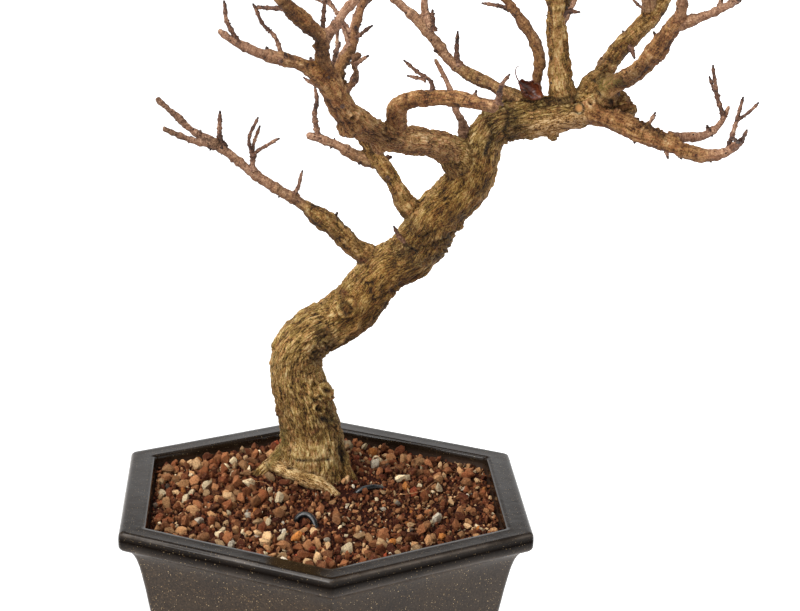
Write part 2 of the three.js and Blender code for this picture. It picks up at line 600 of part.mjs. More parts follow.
// The points of the soil's top, on a triangular lattice where every third point stands up as a grain.
function grainLattice() {
  const draw = makeDraw(GRAIN_SEED);
  const between = ([low, high]) => THREE.MathUtils.lerp(low, high, draw());
  const pitch = GRAIN_LATTICE_RADIUS / GRAIN_RINGS;
  const lattice = new Map();
  for (let i = -GRAIN_RINGS; i <= GRAIN_RINGS; i++) {
    for (let j = -GRAIN_RINGS; j <= GRAIN_RINGS; j++) {
      if (Math.abs(i + j) > GRAIN_RINGS) continue;
      const isGrain = (i - j) % 3 === 0;
      const x = pitch * j * Math.cos(Math.PI / 6) + GRAIN_SHIFT * (2 * draw() - 1);
      const y = pitch * (i + j / 2) + GRAIN_SHIFT * (2 * draw() - 1);
      const z = soilHeight(x, y) + between(isGrain ? GRAIN_RISE : GRAIN_DIP);
      lattice.set(`${i},${j}`, new THREE.Vector3(x, y, z));
    }
  }
  return lattice;
}

// A block of soil with the grains on top, a little wider than the bowl.
function grainBlock() {
  const lattice = grainLattice();
  const number = new Map([...lattice.keys()].map((key, k) => [key, k]));
  const top = [];
  for (const key of lattice.keys()) {
    const [i, j] = key.split(",").map(Number);
    const corners = [[i, j], [i + 1, j], [i, j + 1], [i + 1, j - 1]];
    const [a, b, c, d] = corners.map((at) => number.get(`${at}`));
    if (b !== undefined && c !== undefined) top.push([a, c, b]);
    if (b !== undefined && d !== undefined) top.push([a, b, d]);
  }
  const open = new Map();
  for (const face of top) {
    face.forEach((a, k) => {
      const b = face[(k + 1) % 3];
      if (!open.delete(`${b},${a}`)) open.set(`${a},${b}`, [a, b]);
    });
  }
  const count = lattice.size;
  const walls = [...open.values()].flatMap(([a, b]) => [b, a, a + count, b, a + count, b + count]);
  const floor = [...open.values()].flatMap(([a, b]) => [b + count, a + count, 2 * count]);
  const above = [...lattice.values()];
  const below = above.map((p) => new THREE.Vector3(p.x, p.y, 0));
  const points = [...above, ...below, new THREE.Vector3(0, 0, 0)];
  return solidOf(
    new THREE.BufferGeometry().setFromPoints(points).setIndex([...top.flat(), ...walls, ...floor]),
  );
}

// The soil: it fills the bowl, with room for the screen, the trunk, its roots and the wire.
function makeSoil() {
  const bowl = INSIDE.slice(0, 3).map(([height, apothem]) => [height + GAP, apothem - GAP]);
  bowl.push([LIP_TOP + 12, LIP_APOTHEM - LIP_WIDTH + 1]);
  const pocketSide = SCREEN_SIDE + 2 * GAP;
  const pocket = block(pocketSide, pocketSide, 0, FLOOR_TOP + SCREEN_THICKNESS + 2 * GAP);
  const soil = grainBlock()
    .intersect(hexagonLoft(bowl))
    .subtract(pocket)
    .subtract(trunkAndRoots(GAP + 0.05))
    .subtract(solidOf(tube(wireRoute(), WIRE_RADIUS + GAP + 0.1)));
  return geometryOf(soil);
}

// One cross ring of the leaf: a curled strip with its outer face first.
function leafRing(share) {
  const half = LEAF_HALF_WIDTH * Math.sin(Math.PI * (0.07 + 0.86 * share)) ** 0.8;
  const wave = LEAF_WAVE * Math.sin(7 * share);
  const arch = LEAF_ARCH * Math.sin(Math.PI * share);
  const edge = (c, lift) => {
    const radius = half / LEAF_ROLL + lift;
    const turn = LEAF_ROLL * c;
    const y = radius * Math.sin(turn) + 0.3 * wave;
    const z = half / LEAF_ROLL - radius * Math.cos(turn) - arch + wave * c * c;
    return new THREE.Vector3(LEAF_LENGTH * (share - 0.5), y, z);
  };
  const across = Array.from({ length: LEAF_COLUMNS + 1 }, (_, k) => (2 * k) / LEAF_COLUMNS - 1);
  const outer = across.map((c) => edge(c, LEAF_THICKNESS / 2));
  const inner = across.map((c) => edge(c, -LEAF_THICKNESS / 2)).reverse();
  return [...outer, ...inner];
}

// A dead leaf, rolled along its length, standing where the branches part. Its stalk curls up at one end.
function makeLeaf() {
  const normal = new THREE.Vector3().crossVectors(LEAF_ALONG, LEAF_ACROSS).normalize();
  const across = new THREE.Vector3().crossVectors(normal, LEAF_ALONG);
  const frame = new THREE.Matrix4().makeBasis(LEAF_ALONG, across, normal).setPosition(...LEAF_MIDDLE);
  const rings = Array.from({ length: LEAF_ROWS + 1 }, (_, i) => leafRing(i / LEAF_ROWS));
  const blade = solidOf(skin(rings).applyMatrix4(frame));
  const stalk = LEAF_STALK.map(([x, y, z, radius]) => [
    ...new THREE.Vector3(x, y, z).applyMatrix4(frame).toArray(),
    radius,
  ]);
  const neighbours = [TRUNK.slice(-7), ...LEAF_NEIGHBOURS.map((name) => LIMBS[name])];
  const leaf = neighbours.reduce(
    (rest, route) => rest.subtract(limb(route, 10, 4, GAP + 0.2)),
    blade.add(limb(stalk, 5, 2)),
  );
  return geometryOf(leaf);
}

// Each node's finish and shape.
const PIECES = {
  pot: [{ color: 0x453e3a, roughness: 0.35, metalness: 0 }, makePot()],
  drain_screen: [{ color: 0x22231f, roughness: 0.6, metalness: 0 }, makeScreen()],
  soil: [{ color: 0x7a4a35, roughness: 0.95, metalness: 0 }, makeSoil()],
  tree: [{ color: 0x84714c, roughness: 0.85, metalness: 0 }, geometryOf(makeTree())],
  tie_wire: [{ color: 0x17181a, roughness: 0.4, metalness: 0 }, tube(wireRoute(), WIRE_RADIUS)],
  dry_leaf: [{ color: 0x4a1c14, roughness: 0.4, metalness: 0 }, makeLeaf()],
};

const bonsai = new THREE.Group();
for (const [name, [finish, geometry]] of Object.entries(PIECES)) {
  const mesh = new THREE.Mesh(geometry, new THREE.MeshStandardMaterial(finish));
  mesh.name = name;
  bonsai.add(mesh);
}

// The origin goes under the middle of the bounding box.
const box = new THREE.Box3().setFromObject(bonsai);
bonsai.position.x = -(box.min.x + box.max.x) / 2;

export default bonsai;
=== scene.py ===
"""The looks of a leafless Adina pilulifera bonsai in a hexagonal stoneware pot.

Lengths are millimetres unless a docstring says metres, and MM turns one into the other. Places are
measured from the ground under the middle of the pot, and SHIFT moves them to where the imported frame
has the pot. Wood keeps its middle lines from the part's own source.
"""

import json
import logging
import math
from dataclasses import dataclass
from enum import Enum
from typing import Callable, Sequence

import bmesh
import bpy
import numpy as np
from mathutils import Matrix, Vector

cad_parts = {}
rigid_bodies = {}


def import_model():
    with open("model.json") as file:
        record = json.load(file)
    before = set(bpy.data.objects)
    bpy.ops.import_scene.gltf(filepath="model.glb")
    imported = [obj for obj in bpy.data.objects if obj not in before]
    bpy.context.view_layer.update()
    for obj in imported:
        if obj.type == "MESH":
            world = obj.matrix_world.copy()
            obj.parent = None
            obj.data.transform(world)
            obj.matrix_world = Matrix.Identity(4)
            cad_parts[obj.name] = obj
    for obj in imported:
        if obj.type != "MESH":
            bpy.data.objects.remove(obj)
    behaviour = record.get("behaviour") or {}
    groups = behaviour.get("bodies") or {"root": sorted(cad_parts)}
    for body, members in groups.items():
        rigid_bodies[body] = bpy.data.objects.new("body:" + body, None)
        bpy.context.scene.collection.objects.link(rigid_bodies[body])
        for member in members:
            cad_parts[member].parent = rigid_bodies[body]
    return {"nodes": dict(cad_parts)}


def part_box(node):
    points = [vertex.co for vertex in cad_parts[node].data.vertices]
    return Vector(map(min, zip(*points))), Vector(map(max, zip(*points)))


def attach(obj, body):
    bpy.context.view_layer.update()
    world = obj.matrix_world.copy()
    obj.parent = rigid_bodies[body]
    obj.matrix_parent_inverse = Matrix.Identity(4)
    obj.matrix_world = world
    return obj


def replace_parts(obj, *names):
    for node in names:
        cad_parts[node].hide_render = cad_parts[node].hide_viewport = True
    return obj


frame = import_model()

LOG = logging.getLogger("bonsai")
MM = 0.001
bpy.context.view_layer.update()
POT_LOW, POT_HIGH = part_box("pot")
SHIFT = np.array([(POT_LOW.x + POT_HIGH.x) / 2, (POT_LOW.y + POT_HIGH.y) / 2, POT_LOW.z]) / MM
BODY = "root"

Array = np.ndarray
Draws = np.random.Generator
Piece = bpy.types.Object
Mesh = bpy.types.Mesh
Material = bpy.types.Material
Socket = bpy.types.NodeSocket
Place = tuple[float, float, float]
Route = Sequence[tuple[float, float, float, float]]
Profile = Sequence[tuple[float, float]]
Stops = Sequence[tuple[float, str]]
Faces = list[tuple[int, ...]]
Edges = Sequence[tuple[int, int]]
Skin = tuple[Array, Faces]
Inputs = dict[str | int, object]


class Slot(Enum):
    """The record's material slots."""

    POT = "pot"
    SOIL = "soil"
    TREE = "tree"
    SCREEN = "drain_screen"
    WIRE = "tie_wire"
    LEAF = "dry_leaf"


class MarkKind(Enum):
    """What a mark on the bark is."""

    SCAR = "healed ring"
    STUB = "knot with a hollow"
    CUT = "fresh pruned face"
    BARE = "smooth pale wood"
    PALE = "lighter bark"
    MOSS = "green growth"
    CRACK = "dark split"
    BURL = "red lumps"
    FLAKE = "raised pale flake"
    # SHADE marks are partly painted shade, in creases, at joins and on shaded stretches of wood, and partly
    # dark rough bark.
    SHADE = "dark rough bark"
    TAN = "tan root bark"
    DULL = "darker, duller stretch"


# Pot sizes, repeated from the part.
POT_HEIGHT = 79.0
LIP_APOTHEM = 99.6
LIP_WIDTH = 12.9
LIP_HEIGHT = 8.8
LIP_UNDER = POT_HEIGHT - LIP_HEIGHT
CORNERS = 6
FOOT_HEIGHT = 4.0
BASE_APOTHEM = 80.5
FOOT_WIDTH = 11.0
FOOT_GAP = 46.0
FLOOR_TOP = 11.0
DRAIN_RADIUS = 10.0
WIRE_HOLE_RADIUS = 2.8
WIRE_HOLE_CIRCLE = 38.0
SOIL_EDGE = 73.4
SOIL_MOUND = 3.6
MOUND_SPREAD = 40.0
MOUND_MIDDLE = (-4.0, 34.0)
WIRE_RADIUS = 1.3
WIRE_COAT = 0.2

# The wood's middle lines, each as (x, y, z, radius), repeated from the part.
TRUNK: Route = (
    (-5, 33, 59, 14.5), (-4, 34, 76, 17), (-4.2, 34, 88, 16.4), (-5.8, 34, 98, 15.4),
    (-10.2, 33, 115, 14.7), (-15.2, 32, 132, 12.8), (-13, 31, 145, 13), (-6, 30, 153, 12.9),
    (4.6, 30, 159, 12.7), (15, 29, 168, 12.6), (22.4, 28, 178.4, 12.4), (31, 26, 188.6, 11.9),
    (41.6, 24, 195.6, 12.6), (49, 21, 206.4, 12.7), (55.2, 19, 218.2, 11.8), (62, 17, 225.4, 11.7),
    (69.5, 15, 236.6, 11.3), (73.4, 13, 249, 10.2), (76, 12, 258, 9.4), (82, 12, 264.8, 9.5),
    (91, 12, 267.6, 9.6), (101, 13, 268.6, 9.6), (112, 13, 270.8, 9), (123, 14, 273, 8.4),
    (134, 14, 275.4, 7.6), (144, 15, 276.5, 5.4),
)
ROOTS: Sequence[Route] = (
    (
        (-6, 35, 100, 10), (-17, 38, 88, 5.4), (-24, 37, 82, 4.2), (-31, 36, 76, 3.4), (-40, 38, 66, 2.6),
    ),
    ((0, 33, 98, 9), (8, 31, 87, 4.6), (12.5, 28, 79, 3.6), (18, 27, 71, 2.8), (26, 28, 62, 2.2)),
    ((-4, 38, 95, 9), (-2, 50, 84, 5), (2, 58, 76, 4), (6, 68, 66, 2.8)),
    ((-6, 38, 92, 8), (-16, 48, 82, 4.6), (-24, 56, 74, 3.6), (-32, 64, 66, 2.6)),
    (
        (-20, 38, 85, 3.8), (-26, 36, 80.5, 3.4), (-17, 25, 79.6, 3.7), (-8, 14, 79, 3.7),
        (-1, 10, 78.4, 3.3), (4, 8, 75.4, 2.6), (9, 4, 70, 2.1),
    ),
)
LIMBS: dict[str, Route] = {
    "left": (
        (29, 26, 188, 5), (18, 25, 196.4, 4.8), (12, 24, 200.8, 4.8), (3, 22, 210.4, 5.2),
        (-4.6, 20, 216, 4.8), (-14, 18, 223.4, 3), (-28.4, 15, 232.6, 2.5), (-40.3, 13, 241.6, 2.2),
        (-50.3, 11, 250.2, 2.2), (-56, 10, 253.6, 2.3), (-62.6, 9, 254.6, 1.7), (-71, 7, 257.8, 1.4),
        (-80, 6, 261.8, 1.2),
    ),
    "leftFork": (
        (-54, 10, 253.4, 1.9), (-66.4, 13, 259.6, 1.6), (-75, 15, 267, 1.5), (-83.4, 16, 274.4, 1.25),
    ),
    "behind": (
        (51, 20, 212, 4.4), (40, 21, 221, 4.4), (31.2, 23, 235, 4.4), (24, 25, 245, 4.5),
        (19, 26, 254, 4.2), (11, 29, 267, 3.9), (5, 31, 278, 3.4), (5, 32, 288, 2.9), (11, 33, 297, 2.4),
        (12, 34, 305, 2), (15, 35, 316, 1.7), (18, 36, 328, 1.5), (16, 39, 342, 1.3), (20, 43, 356, 1),
    ),
    "behindFork": (
        (23, 25, 243, 3), (13, 26, 245.8, 2.9), (6, 26, 249.8, 2.5), (-2, 26, 253, 2.3),
        (-10, 27, 255.2, 2),
    ),
    "behindStrand": (
        (6, 31, 276, 2), (12, 28, 282, 1.7), (13, 27, 286, 1.5), (12, 26, 294, 1.4), (15, 25, 296, 1.1),
    ),
    "front": (
        (69, 15, 242, 7.6), (58, 4, 253.4, 7.1), (46, -10, 260, 6.9), (35, -20, 263, 6.7),
        (26, -28, 265.6, 6.4), (12, -38, 274.6, 6.2), (6, -44, 280, 6.3), (0.8, -50, 288, 5.4),
        (-5.4, -56, 297.4, 4.4), (-13, -60, 304.4, 3.6), (-25, -64, 308.6, 3), (-35, -67, 311.6, 2.3),
        (-45, -69, 316.6, 1.9), (-52, -70, 321.6, 1.5),
    ),
    "frontUp": (
        (1, -51, 291, 3.8), (-6, -58, 307, 3), (-7, -61, 318, 3), (-15, -65, 326, 3.6),
        (-21, -68, 332, 3.4), (-28, -71, 340, 2.4), (-33, -72, 352, 1.8), (-35, -70, 366, 1.3),
    ),
    "frontUpRight": (
        (-7, -60, 316, 2.4), (-1, -62, 323, 2.2), (3, -64, 330, 2), (8, -66, 336, 1.9),
        (15, -66, 347, 1.5), (14, -62, 361, 1.1),
    ),
    "frontSide": (
        (32, -21, 264, 3.8), (30, -28, 274, 4), (30.2, -34, 281.6, 4.2), (35.4, -40, 286.2, 4),
        (45, -48, 288.8, 3.8), (56, -55, 289.8, 3.7), (65, -60, 289, 3.5), (72, -64, 288.2, 3),
    ),
    "greenTip": (
        (70, 13, 250, 2.8), (66, 11, 259, 2.4), (64, 9, 267, 1.9), (61, 9, 272, 1.7), (57, 8, 284, 1.4),
        (50, 8, 297, 1),
    ),
    "leftUp": (
        (95, 12, 270, 4), (91, 12, 277, 3.6), (78, 13, 284, 3.2), (67, 15, 289, 3.4), (58, 17, 295, 2.5),
        (50.8, 19, 304, 2.6), (41.2, 21, 314.4, 2.6), (34.2, 22, 320.6, 2.3), (25, 22, 329, 1.7),
        (15, 20, 341, 1),
    ),
    "leftUpFork": ((47, 20, 311, 2.2), (45, 23, 324, 1.8), (49, 27, 338, 1.5), (46, 31, 352, 1.1)),
    "thinUp": (
        (103, 14, 270, 2.3), (101, 17, 282, 2.1), (101, 18, 288, 2.7), (102, 19, 295, 2.9),
        (100, 20, 303, 2.8), (95, 21, 311, 2.7), (89, 22, 319, 2.5), (83, 23, 327, 2.1),
        (76, 22, 341, 1.7), (75, 18, 357, 1.3), (70, 16, 371, 1),
    ),
    "upright": (
        (115, 13, 268, 6), (113, 12, 280, 5.8), (111, 12, 292, 5.3), (110, 12, 302, 5.1),
        (108, 12, 314, 5.2), (108, 12, 326, 5.2), (104, 9, 341, 4), (101, 4, 357, 3), (103, -2, 373, 2.1),
        (101, -6, 388, 1.3),
    ),
    "uprightFork": ((108, 12, 322, 4.2), (117, 15, 338, 3.4), (124, 20, 354, 2.4), (127, 25, 371, 1.4)),
    "sharpRight": (
        (123, 14, 272, 5.2), (127, 15, 282, 4.6), (133.6, 17, 290, 4.7), (140.4, 19, 301, 4.7),
        (149, 20, 310, 4.8), (158.4, 21, 320.4, 4.4), (164.6, 23, 334, 3.2), (168, 27, 349, 2.3),
        (175, 30, 364, 1.4),
    ),
    "sharpRightFork": ((155, 21, 319, 3.2), (153, 15, 334, 2.4), (156, 9, 349, 1.8), (153, 5, 364, 1.2)),
    "nearRight": (
        (132, 13, 276, 5), (137, 2, 287.6, 4.5), (144.4, -8, 294.4, 4.6), (151.4, -18, 306, 4.6),
        (156.4, -26, 317.4, 4.4), (160, -32, 327, 3), (160, -40, 341, 2.2), (166, -47, 355, 1.4),
    ),
    "nearRightFork": (
        (157, -29, 321, 2.8), (168, -33, 325, 2.4), (179, -38, 331, 1.9), (190, -44, 340, 1.2),
    ),
    "lowRight": (
        (126, 13, 273, 5.2), (132, 4, 270.6, 4.9), (141, -4, 269, 4.8), (149, -10, 265.8, 4.7),
        (159, -15, 262.8, 4.5), (167, -20, 260.2, 4), (177, -26, 258.8, 3.3), (186, -32, 262, 2.3),
        (192, -35, 268, 1.4),
    ),
    "lowRightFork": (
        (160, -16, 264, 2.6), (169, -14, 265, 2.4), (179, -13, 266, 2), (187, -9, 271, 1.5),
        (191, -7, 279, 1),
    ),
    "backLeft": (
        (66, 15, 238, 3.4), (60, 26, 246, 3.1), (50, 38, 249, 3), (37, 50, 250, 2.8), (26, 58, 253, 2.5),
        (16, 64, 259, 2.3), (8, 69, 266, 2), (2, 73, 274, 1.8), (0, 76, 285, 1.6), (-4, 80, 298, 1.2),
    ),
    "backLeftFork": (
        (4, 71, 272, 1.9), (5, 76, 282, 1.6), (11, 82, 292, 1.5), (14, 86, 303, 1.3), (18, 90, 316, 1),
    ),
    "backUp": (
        (114, 14, 270, 3.6), (114, 26, 282, 3.3), (114, 36, 289, 3.1), (114, 46, 297, 3),
        (114, 58, 307, 2.8), (113, 66, 320, 2.4), (107, 72, 335, 1.8), (106, 80, 350, 1.2),
    ),
    "backUpFork": ((114, 56, 305, 2.3), (122, 60, 316, 1.9), (128, 68, 329, 1.5), (130, 77, 343, 1.1)),
    "backRight": (
        (127, 15, 275, 3.4), (133, 28, 288, 3.1), (142, 40, 298, 3), (153, 52, 306, 2.7),
        (164, 58, 315, 2.2), (173, 60, 328, 1.6), (178, 66, 342, 1.1),
    ),
}
TWIGS: Sequence[Route] = (
    ((-18, 17, 227, 1), (-15, 16, 231, 0.9), (-13, 16, 239, 0.75)),
    ((-37, 13, 240, 1.3), (-37, 13, 248, 1.1)),
    ((-37, 13, 247, 0.9), (-39, 12, 256, 0.8), (-35, 12, 266, 0.75)),
    ((-37, 13, 247, 0.9), (-37, 14, 252, 0.8), (-34, 16, 261, 0.75)),
    ((-37, 13, 247, 0.9), (-35, 11, 250, 0.85), (-30, 9, 254, 0.8), (-25, 8, 257, 0.75)),
    ((-51, 11, 252, 1.3), (-53, 10, 257, 1.3), (-53, 10, 269, 0.9)),
    ((39.5, 17.5, 203, 1.3), (35.2, 13, 208, 1.1), (32.6, 11, 213, 0.75)),
    ((12, 26, 291, 1.2), (18, 25, 295, 0.9)),
    ((19, 25, 252, 1.2), (11, 22, 257, 0.8)),
    ((10, 33, 299, 1.3), (6, 34, 309, 0.9)),
    ((12, 34, 302, 1.2), (15, 31, 305, 1), (20, 30, 309, 0.8)),
    ((-5, 27, 254, 1.5), (-7, 25, 266, 1.2), (-6, 25, 273, 1), (-7, 25, 279, 0.8)),
    ((62, 16, 293, 1.5), (61, 15, 299, 1.2), (61, 14, 309, 0.8)),
    ((49, 20, 309, 1.6), (49, 20, 318, 1)),
    ((90, 22, 318, 1.4), (82, 23, 321, 1), (74, 24, 322, 0.8)),
    ((110, 12, 318, 1.6), (114, 9, 321, 1.2), (118, 8, 321, 0.9)),
    ((143, 19, 306, 1.8), (146, 14, 302, 1.2), (147, 12, 299, 0.9)),
    ((-44, -69, 316, 1.2), (-47, -69, 322, 1), (-49, -70, 327, 0.9), (-50, -70, 334, 0.8)),
    (
        (-24, -64, 309, 1.2), (-27, -62, 317, 0.9), (-33, -62, 324, 0.8), (-37, -63, 332, 0.75),
    ),
    ((-19, -67, 330, 1.3), (-26, -64, 331, 1), (-36, -62, 331, 0.8)),
    ((-6, -60, 317, 1.3), (-6, -57, 326, 1), (-5, -55, 336, 0.8)),
    ((45, -48, 290, 1.4), (44, -46, 296, 0.9), (38, -45, 300, 0.85), (32, -45, 305, 0.75)),
    ((42, -45, 297, 0.9), (34, -44, 298, 0.75)),
    ((73, -63, 289, 1.5), (75, -62, 298, 0.95), (78, -61, 302, 0.75)),
    ((148, -9, 267, 1.4), (153, -8, 271, 1), (155, -8, 275, 0.8)),
    ((159, -15, 264, 1.5), (161, -16, 256, 1)),
)
KNOTS: Route = (
    (-1.6, 26, 123, 5.6), (0.5, 29, 119, 4.4), (-20.5, 31, 147, 6.2), (-18.8, 33, 110, 5.0),
    (10, 20.5, 170.5, 5.6), (28, 23, 176, 5), (62, 16, 214.5, 5), (139, 12, 276, 6.6),
    (144.5, 11, 272.6, 4.6), (132.5, 6, 284, 5), (96.5, 9, 260.6, 2.8), (109, 9, 260.6, 3),
    (83.5, 12, 275, 4.4),
)
SHOOT_HOSTS: tuple[tuple[str, int, float, float], ...] = (
    ("behind", 3, 0.84, 0.98), ("frontUp", 4, 0.72, 0.97), ("frontUpRight", 2, 0.62, 0.96),
    ("leftUp", 3, 0.84, 0.97), ("leftUpFork", 2, 0.5, 0.96), ("thinUp", 3, 0.76, 0.97),
    ("upright", 4, 0.68, 0.97), ("uprightFork", 3, 0.4, 0.96), ("sharpRight", 3, 0.76, 0.97),
    ("sharpRightFork", 3, 0.45, 0.96), ("nearRight", 3, 0.74, 0.97), ("nearRightFork", 2, 0.5, 0.96),
    ("lowRight", 2, 0.86, 0.97), ("lowRightFork", 1, 0.8, 0.95), ("backLeft", 3, 0.72, 0.97),
    ("backLeftFork", 2, 0.55, 0.96), ("backUp", 3, 0.66, 0.97), ("backUpFork", 2, 0.5, 0.95),
    ("backRight", 3, 0.6, 0.97),
)
SHOOT_SEED = 20417
SHOOT_LENGTH = (17.0, 27.0)
SHOOT_RADIUS = (1.15, 0.75)
SHOOT_SHARES = (0.0, 0.36, 0.7, 1.0)
SHOOT_RISE = 0.3
SHOOT_BEND = 0.32
SIDE_TWIG_SHARE = 0.75
SIDE_TWIG_LENGTH = (0.35, 0.6)
SIDE_TWIG_RISE = 0.4
SIDE_TWIG_SAG = 0.8
GOLDEN_ANGLE = math.pi * (3 - math.sqrt(5))


def linear(code: str) -> tuple[float, float, float, float]:
    """Turns a screen colour into the renderer's linear colour.

    Args:
        code: the colour as "#rrggbb".

    Returns:
        Red, green, blue and alpha.
    """
    shares = [int(code[k : k + 2], 16) / 255 for k in (1, 3, 5)]
    red, green, blue = (s / 12.92 if s <= 0.04045 else ((s + 0.055) / 1.055) ** 2.4 for s in shares)
    return red, green, blue, 1.0


def smooth_step(values: Array, low: float, high: float) -> Array:
    """Rises smoothly from 0 at low to 1 at high."""
    share = np.clip((values - low) / (high - low), 0, 1)
    return share * share * (3 - 2 * share)


def bell(values: Array, middle: float, width: float) -> Array:
    """A smooth bump of height 1 at the middle."""
    return np.exp(-(((values - middle) / width) ** 2))


def unit(ways: Array) -> Array:
    """Brings one direction, or rows of them, to length 1."""
    return ways / np.linalg.norm(ways, axis=1 if ways.ndim == 2 else None, keepdims=True)


def spokes(count: int) -> Array:
    """Gives the angles of evenly spaced spokes."""
    return np.arange(count) * 2 * math.pi / count


def apothem_of(x: Array, y: Array) -> Array:
    """Gives how far out points lie, measured square to the pot's sides."""
    angles = spokes(CORNERS)
    return np.max(np.outer(x, np.cos(angles)) + np.outer(y, np.sin(angles)), axis=1)


def wire_hole(number: int) -> tuple[float, float]:
    """Gives the middle of one of the six wire holes."""
    angle = math.pi / 2 + number * 2 * math.pi / CORNERS
    return WIRE_HOLE_CIRCLE * math.cos(angle), WIRE_HOLE_CIRCLE * math.sin(angle)


def tube(rings: int, sides: int) -> Faces:
    """Joins rings of points by faces and closes both ends.

    Args:
        rings: how many rings there are.
        sides: how many points each has.

    Returns:
        The faces, ring by ring, and then the ends.
    """
    faces: Faces = []
    for low in range(0, (rings - 1) * sides, sides):
        for k in range(sides):
            after = low + (k + 1) % sides
            faces.append((low + k, after, after + sides, low + k + sides))
    last = (rings - 1) * sides
    return [*faces, tuple(range(sides - 1, -1, -1)), tuple(range(last, last + sides))]


class Draw:
    """The part's own seeded draw, so that shoots grow where the part has them."""

    def __init__(self, seed: int) -> None:
        """Starts the draw at a seed."""
        self.state = seed

    def __call__(self) -> float:
        """Gives the next number between 0 and 1."""
        self.state = (self.state * 1664525 + 1013904223) % 4294967296
        return self.state / 4294967296

    def between(self, limits: tuple[float, float]) -> float:
        """Gives a number between two limits."""
        low, high = limits
        return low + (high - low) * self()


class Shape:
    """Gathers points, faces and values for one mesh, in mm from the pot's middle."""

    def __init__(self) -> None:
        """Starts empty."""
        self.points: list[Array] = []
        self.faces: Faces = []
        self.edges: list[tuple[int, int]] = []
        self.values: dict[str, list[Array]] = {}
        self.count = 0

    def add(self, points: Array, faces: Faces | tuple = (), edges: Edges = (), **values: Array) -> None:
        """Adds a patch.

        Args:
            points: the new points.
            faces: faces, by the patch's own point numbers.
            edges: loose edges, by the patch's own point numbers.
            values: one number or vector for each point, by name.
        """
        base = self.count
        self.points.append(np.asarray(points, float))
        self.faces.extend(tuple(int(i) + base for i in face) for face in faces)
        self.edges.extend((a + base, b + base) for a, b in edges)
        for name, numbers in values.items():
            self.values.setdefault(name, []).append(np.asarray(numbers, float))
        self.count += len(points)

    def build(self, name: str) -> Piece:
        """Makes the mesh and its object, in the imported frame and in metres.

        Args:
            name: the object's name.

        Returns:
            The object, linked to the scene.
        """
        mesh = bpy.data.meshes.new(name)
        points = (np.vstack(self.points) + SHIFT) * MM
        mesh.from_pydata(points.tolist(), self.edges, self.faces)
        for label, numbers in self.values.items():
            store(mesh, label, np.concatenate(numbers))
        mesh.update()
        return stand(name, mesh)


def solid(name: str, points: Array, faces: Faces | tuple, **values: Array) -> Piece:
    """Makes an object of one patch.

    Args:
        name: its name.
        points: its points.
        faces: its faces.
        values: one number or vector for each point, by name.

    Returns:
        The object.
    """
    shape = Shape()
    shape.add(points, faces, **values)
    return shape.build(name)


def stand(name: str, mesh: Mesh) -> Piece:
    """Links a new object for a mesh to the scene.

    Args:
        name: the object's name.
        mesh: its mesh.

    Returns:
        The object.
    """
    piece = bpy.data.objects.new(name, mesh)
    bpy.context.scene.collection.objects.link(piece)
    return piece


def store(mesh: Mesh, label: str, numbers: Array) -> None:
    """Keeps one number or vector for each point of a mesh.

    Args:
        mesh: the mesh.
        label: the name that they are kept under.
        numbers: the numbers or vectors.
    """
    kind, key = ("FLOAT_VECTOR", "vector") if numbers.ndim == 2 else ("FLOAT", "value")
    attribute = mesh.attributes.new(label, kind, "POINT")
    attribute.data.foreach_set(key, numbers.astype(np.float32).ravel())


def places_of(mesh: Mesh) -> Array:
    """Reads a mesh's points.

    Args:
        mesh: the mesh.

    Returns:
        Its points, in mm from the pot's middle.
    """
    flat = np.zeros(len(mesh.vertices) * 3, np.float32)
    mesh.vertices.foreach_get("co", flat)
    return flat.reshape(-1, 3).astype(float) / MM - SHIFT


def triangles_of(mesh: Mesh) -> int:
    """Counts a mesh's triangles."""
    return sum(len(face.vertices) - 2 for face in mesh.polygons)


def settle(piece: Piece) -> None:
    """Replaces an object's mesh by the result of its modifiers, which are then removed.

    Args:
        piece: the object.
    """
    graph = bpy.context.evaluated_depsgraph_get()
    made = bpy.data.meshes.new_from_object(
        piece.evaluated_get(graph), preserve_all_data_layers=True, depsgraph=graph
    )
    piece.modifiers.clear()
    piece.data = made


def mark_sharp(mesh: Mesh, degrees: float) -> None:
    """Marks a mesh's sharp edges.

    Args:
        mesh: the mesh.
        degrees: the angle past which an edge is sharp.
    """
    made = bmesh.new()
    made.from_mesh(mesh)
    for edge in made.edges:
        edge.smooth = not (edge.is_manifold and edge.calc_face_angle() > math.radians(degrees))
    made.to_mesh(mesh)
    made.free()


def seat(piece: Piece, slot: Slot, material: Material | None = None) -> None:
    """Gives a piece its body, and its finish where one is given.

    Args:
        piece: the finished piece.
        slot: the record's slot that it takes its finish from; not used.
        material: its material, where its mesh has none yet.
    """
    if material is not None:
        piece.data.materials.clear()
        piece.data.materials.append(material)
    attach(piece, BODY)
    LOG.info("%s: %d triangles", piece.name, triangles_of(piece.data))


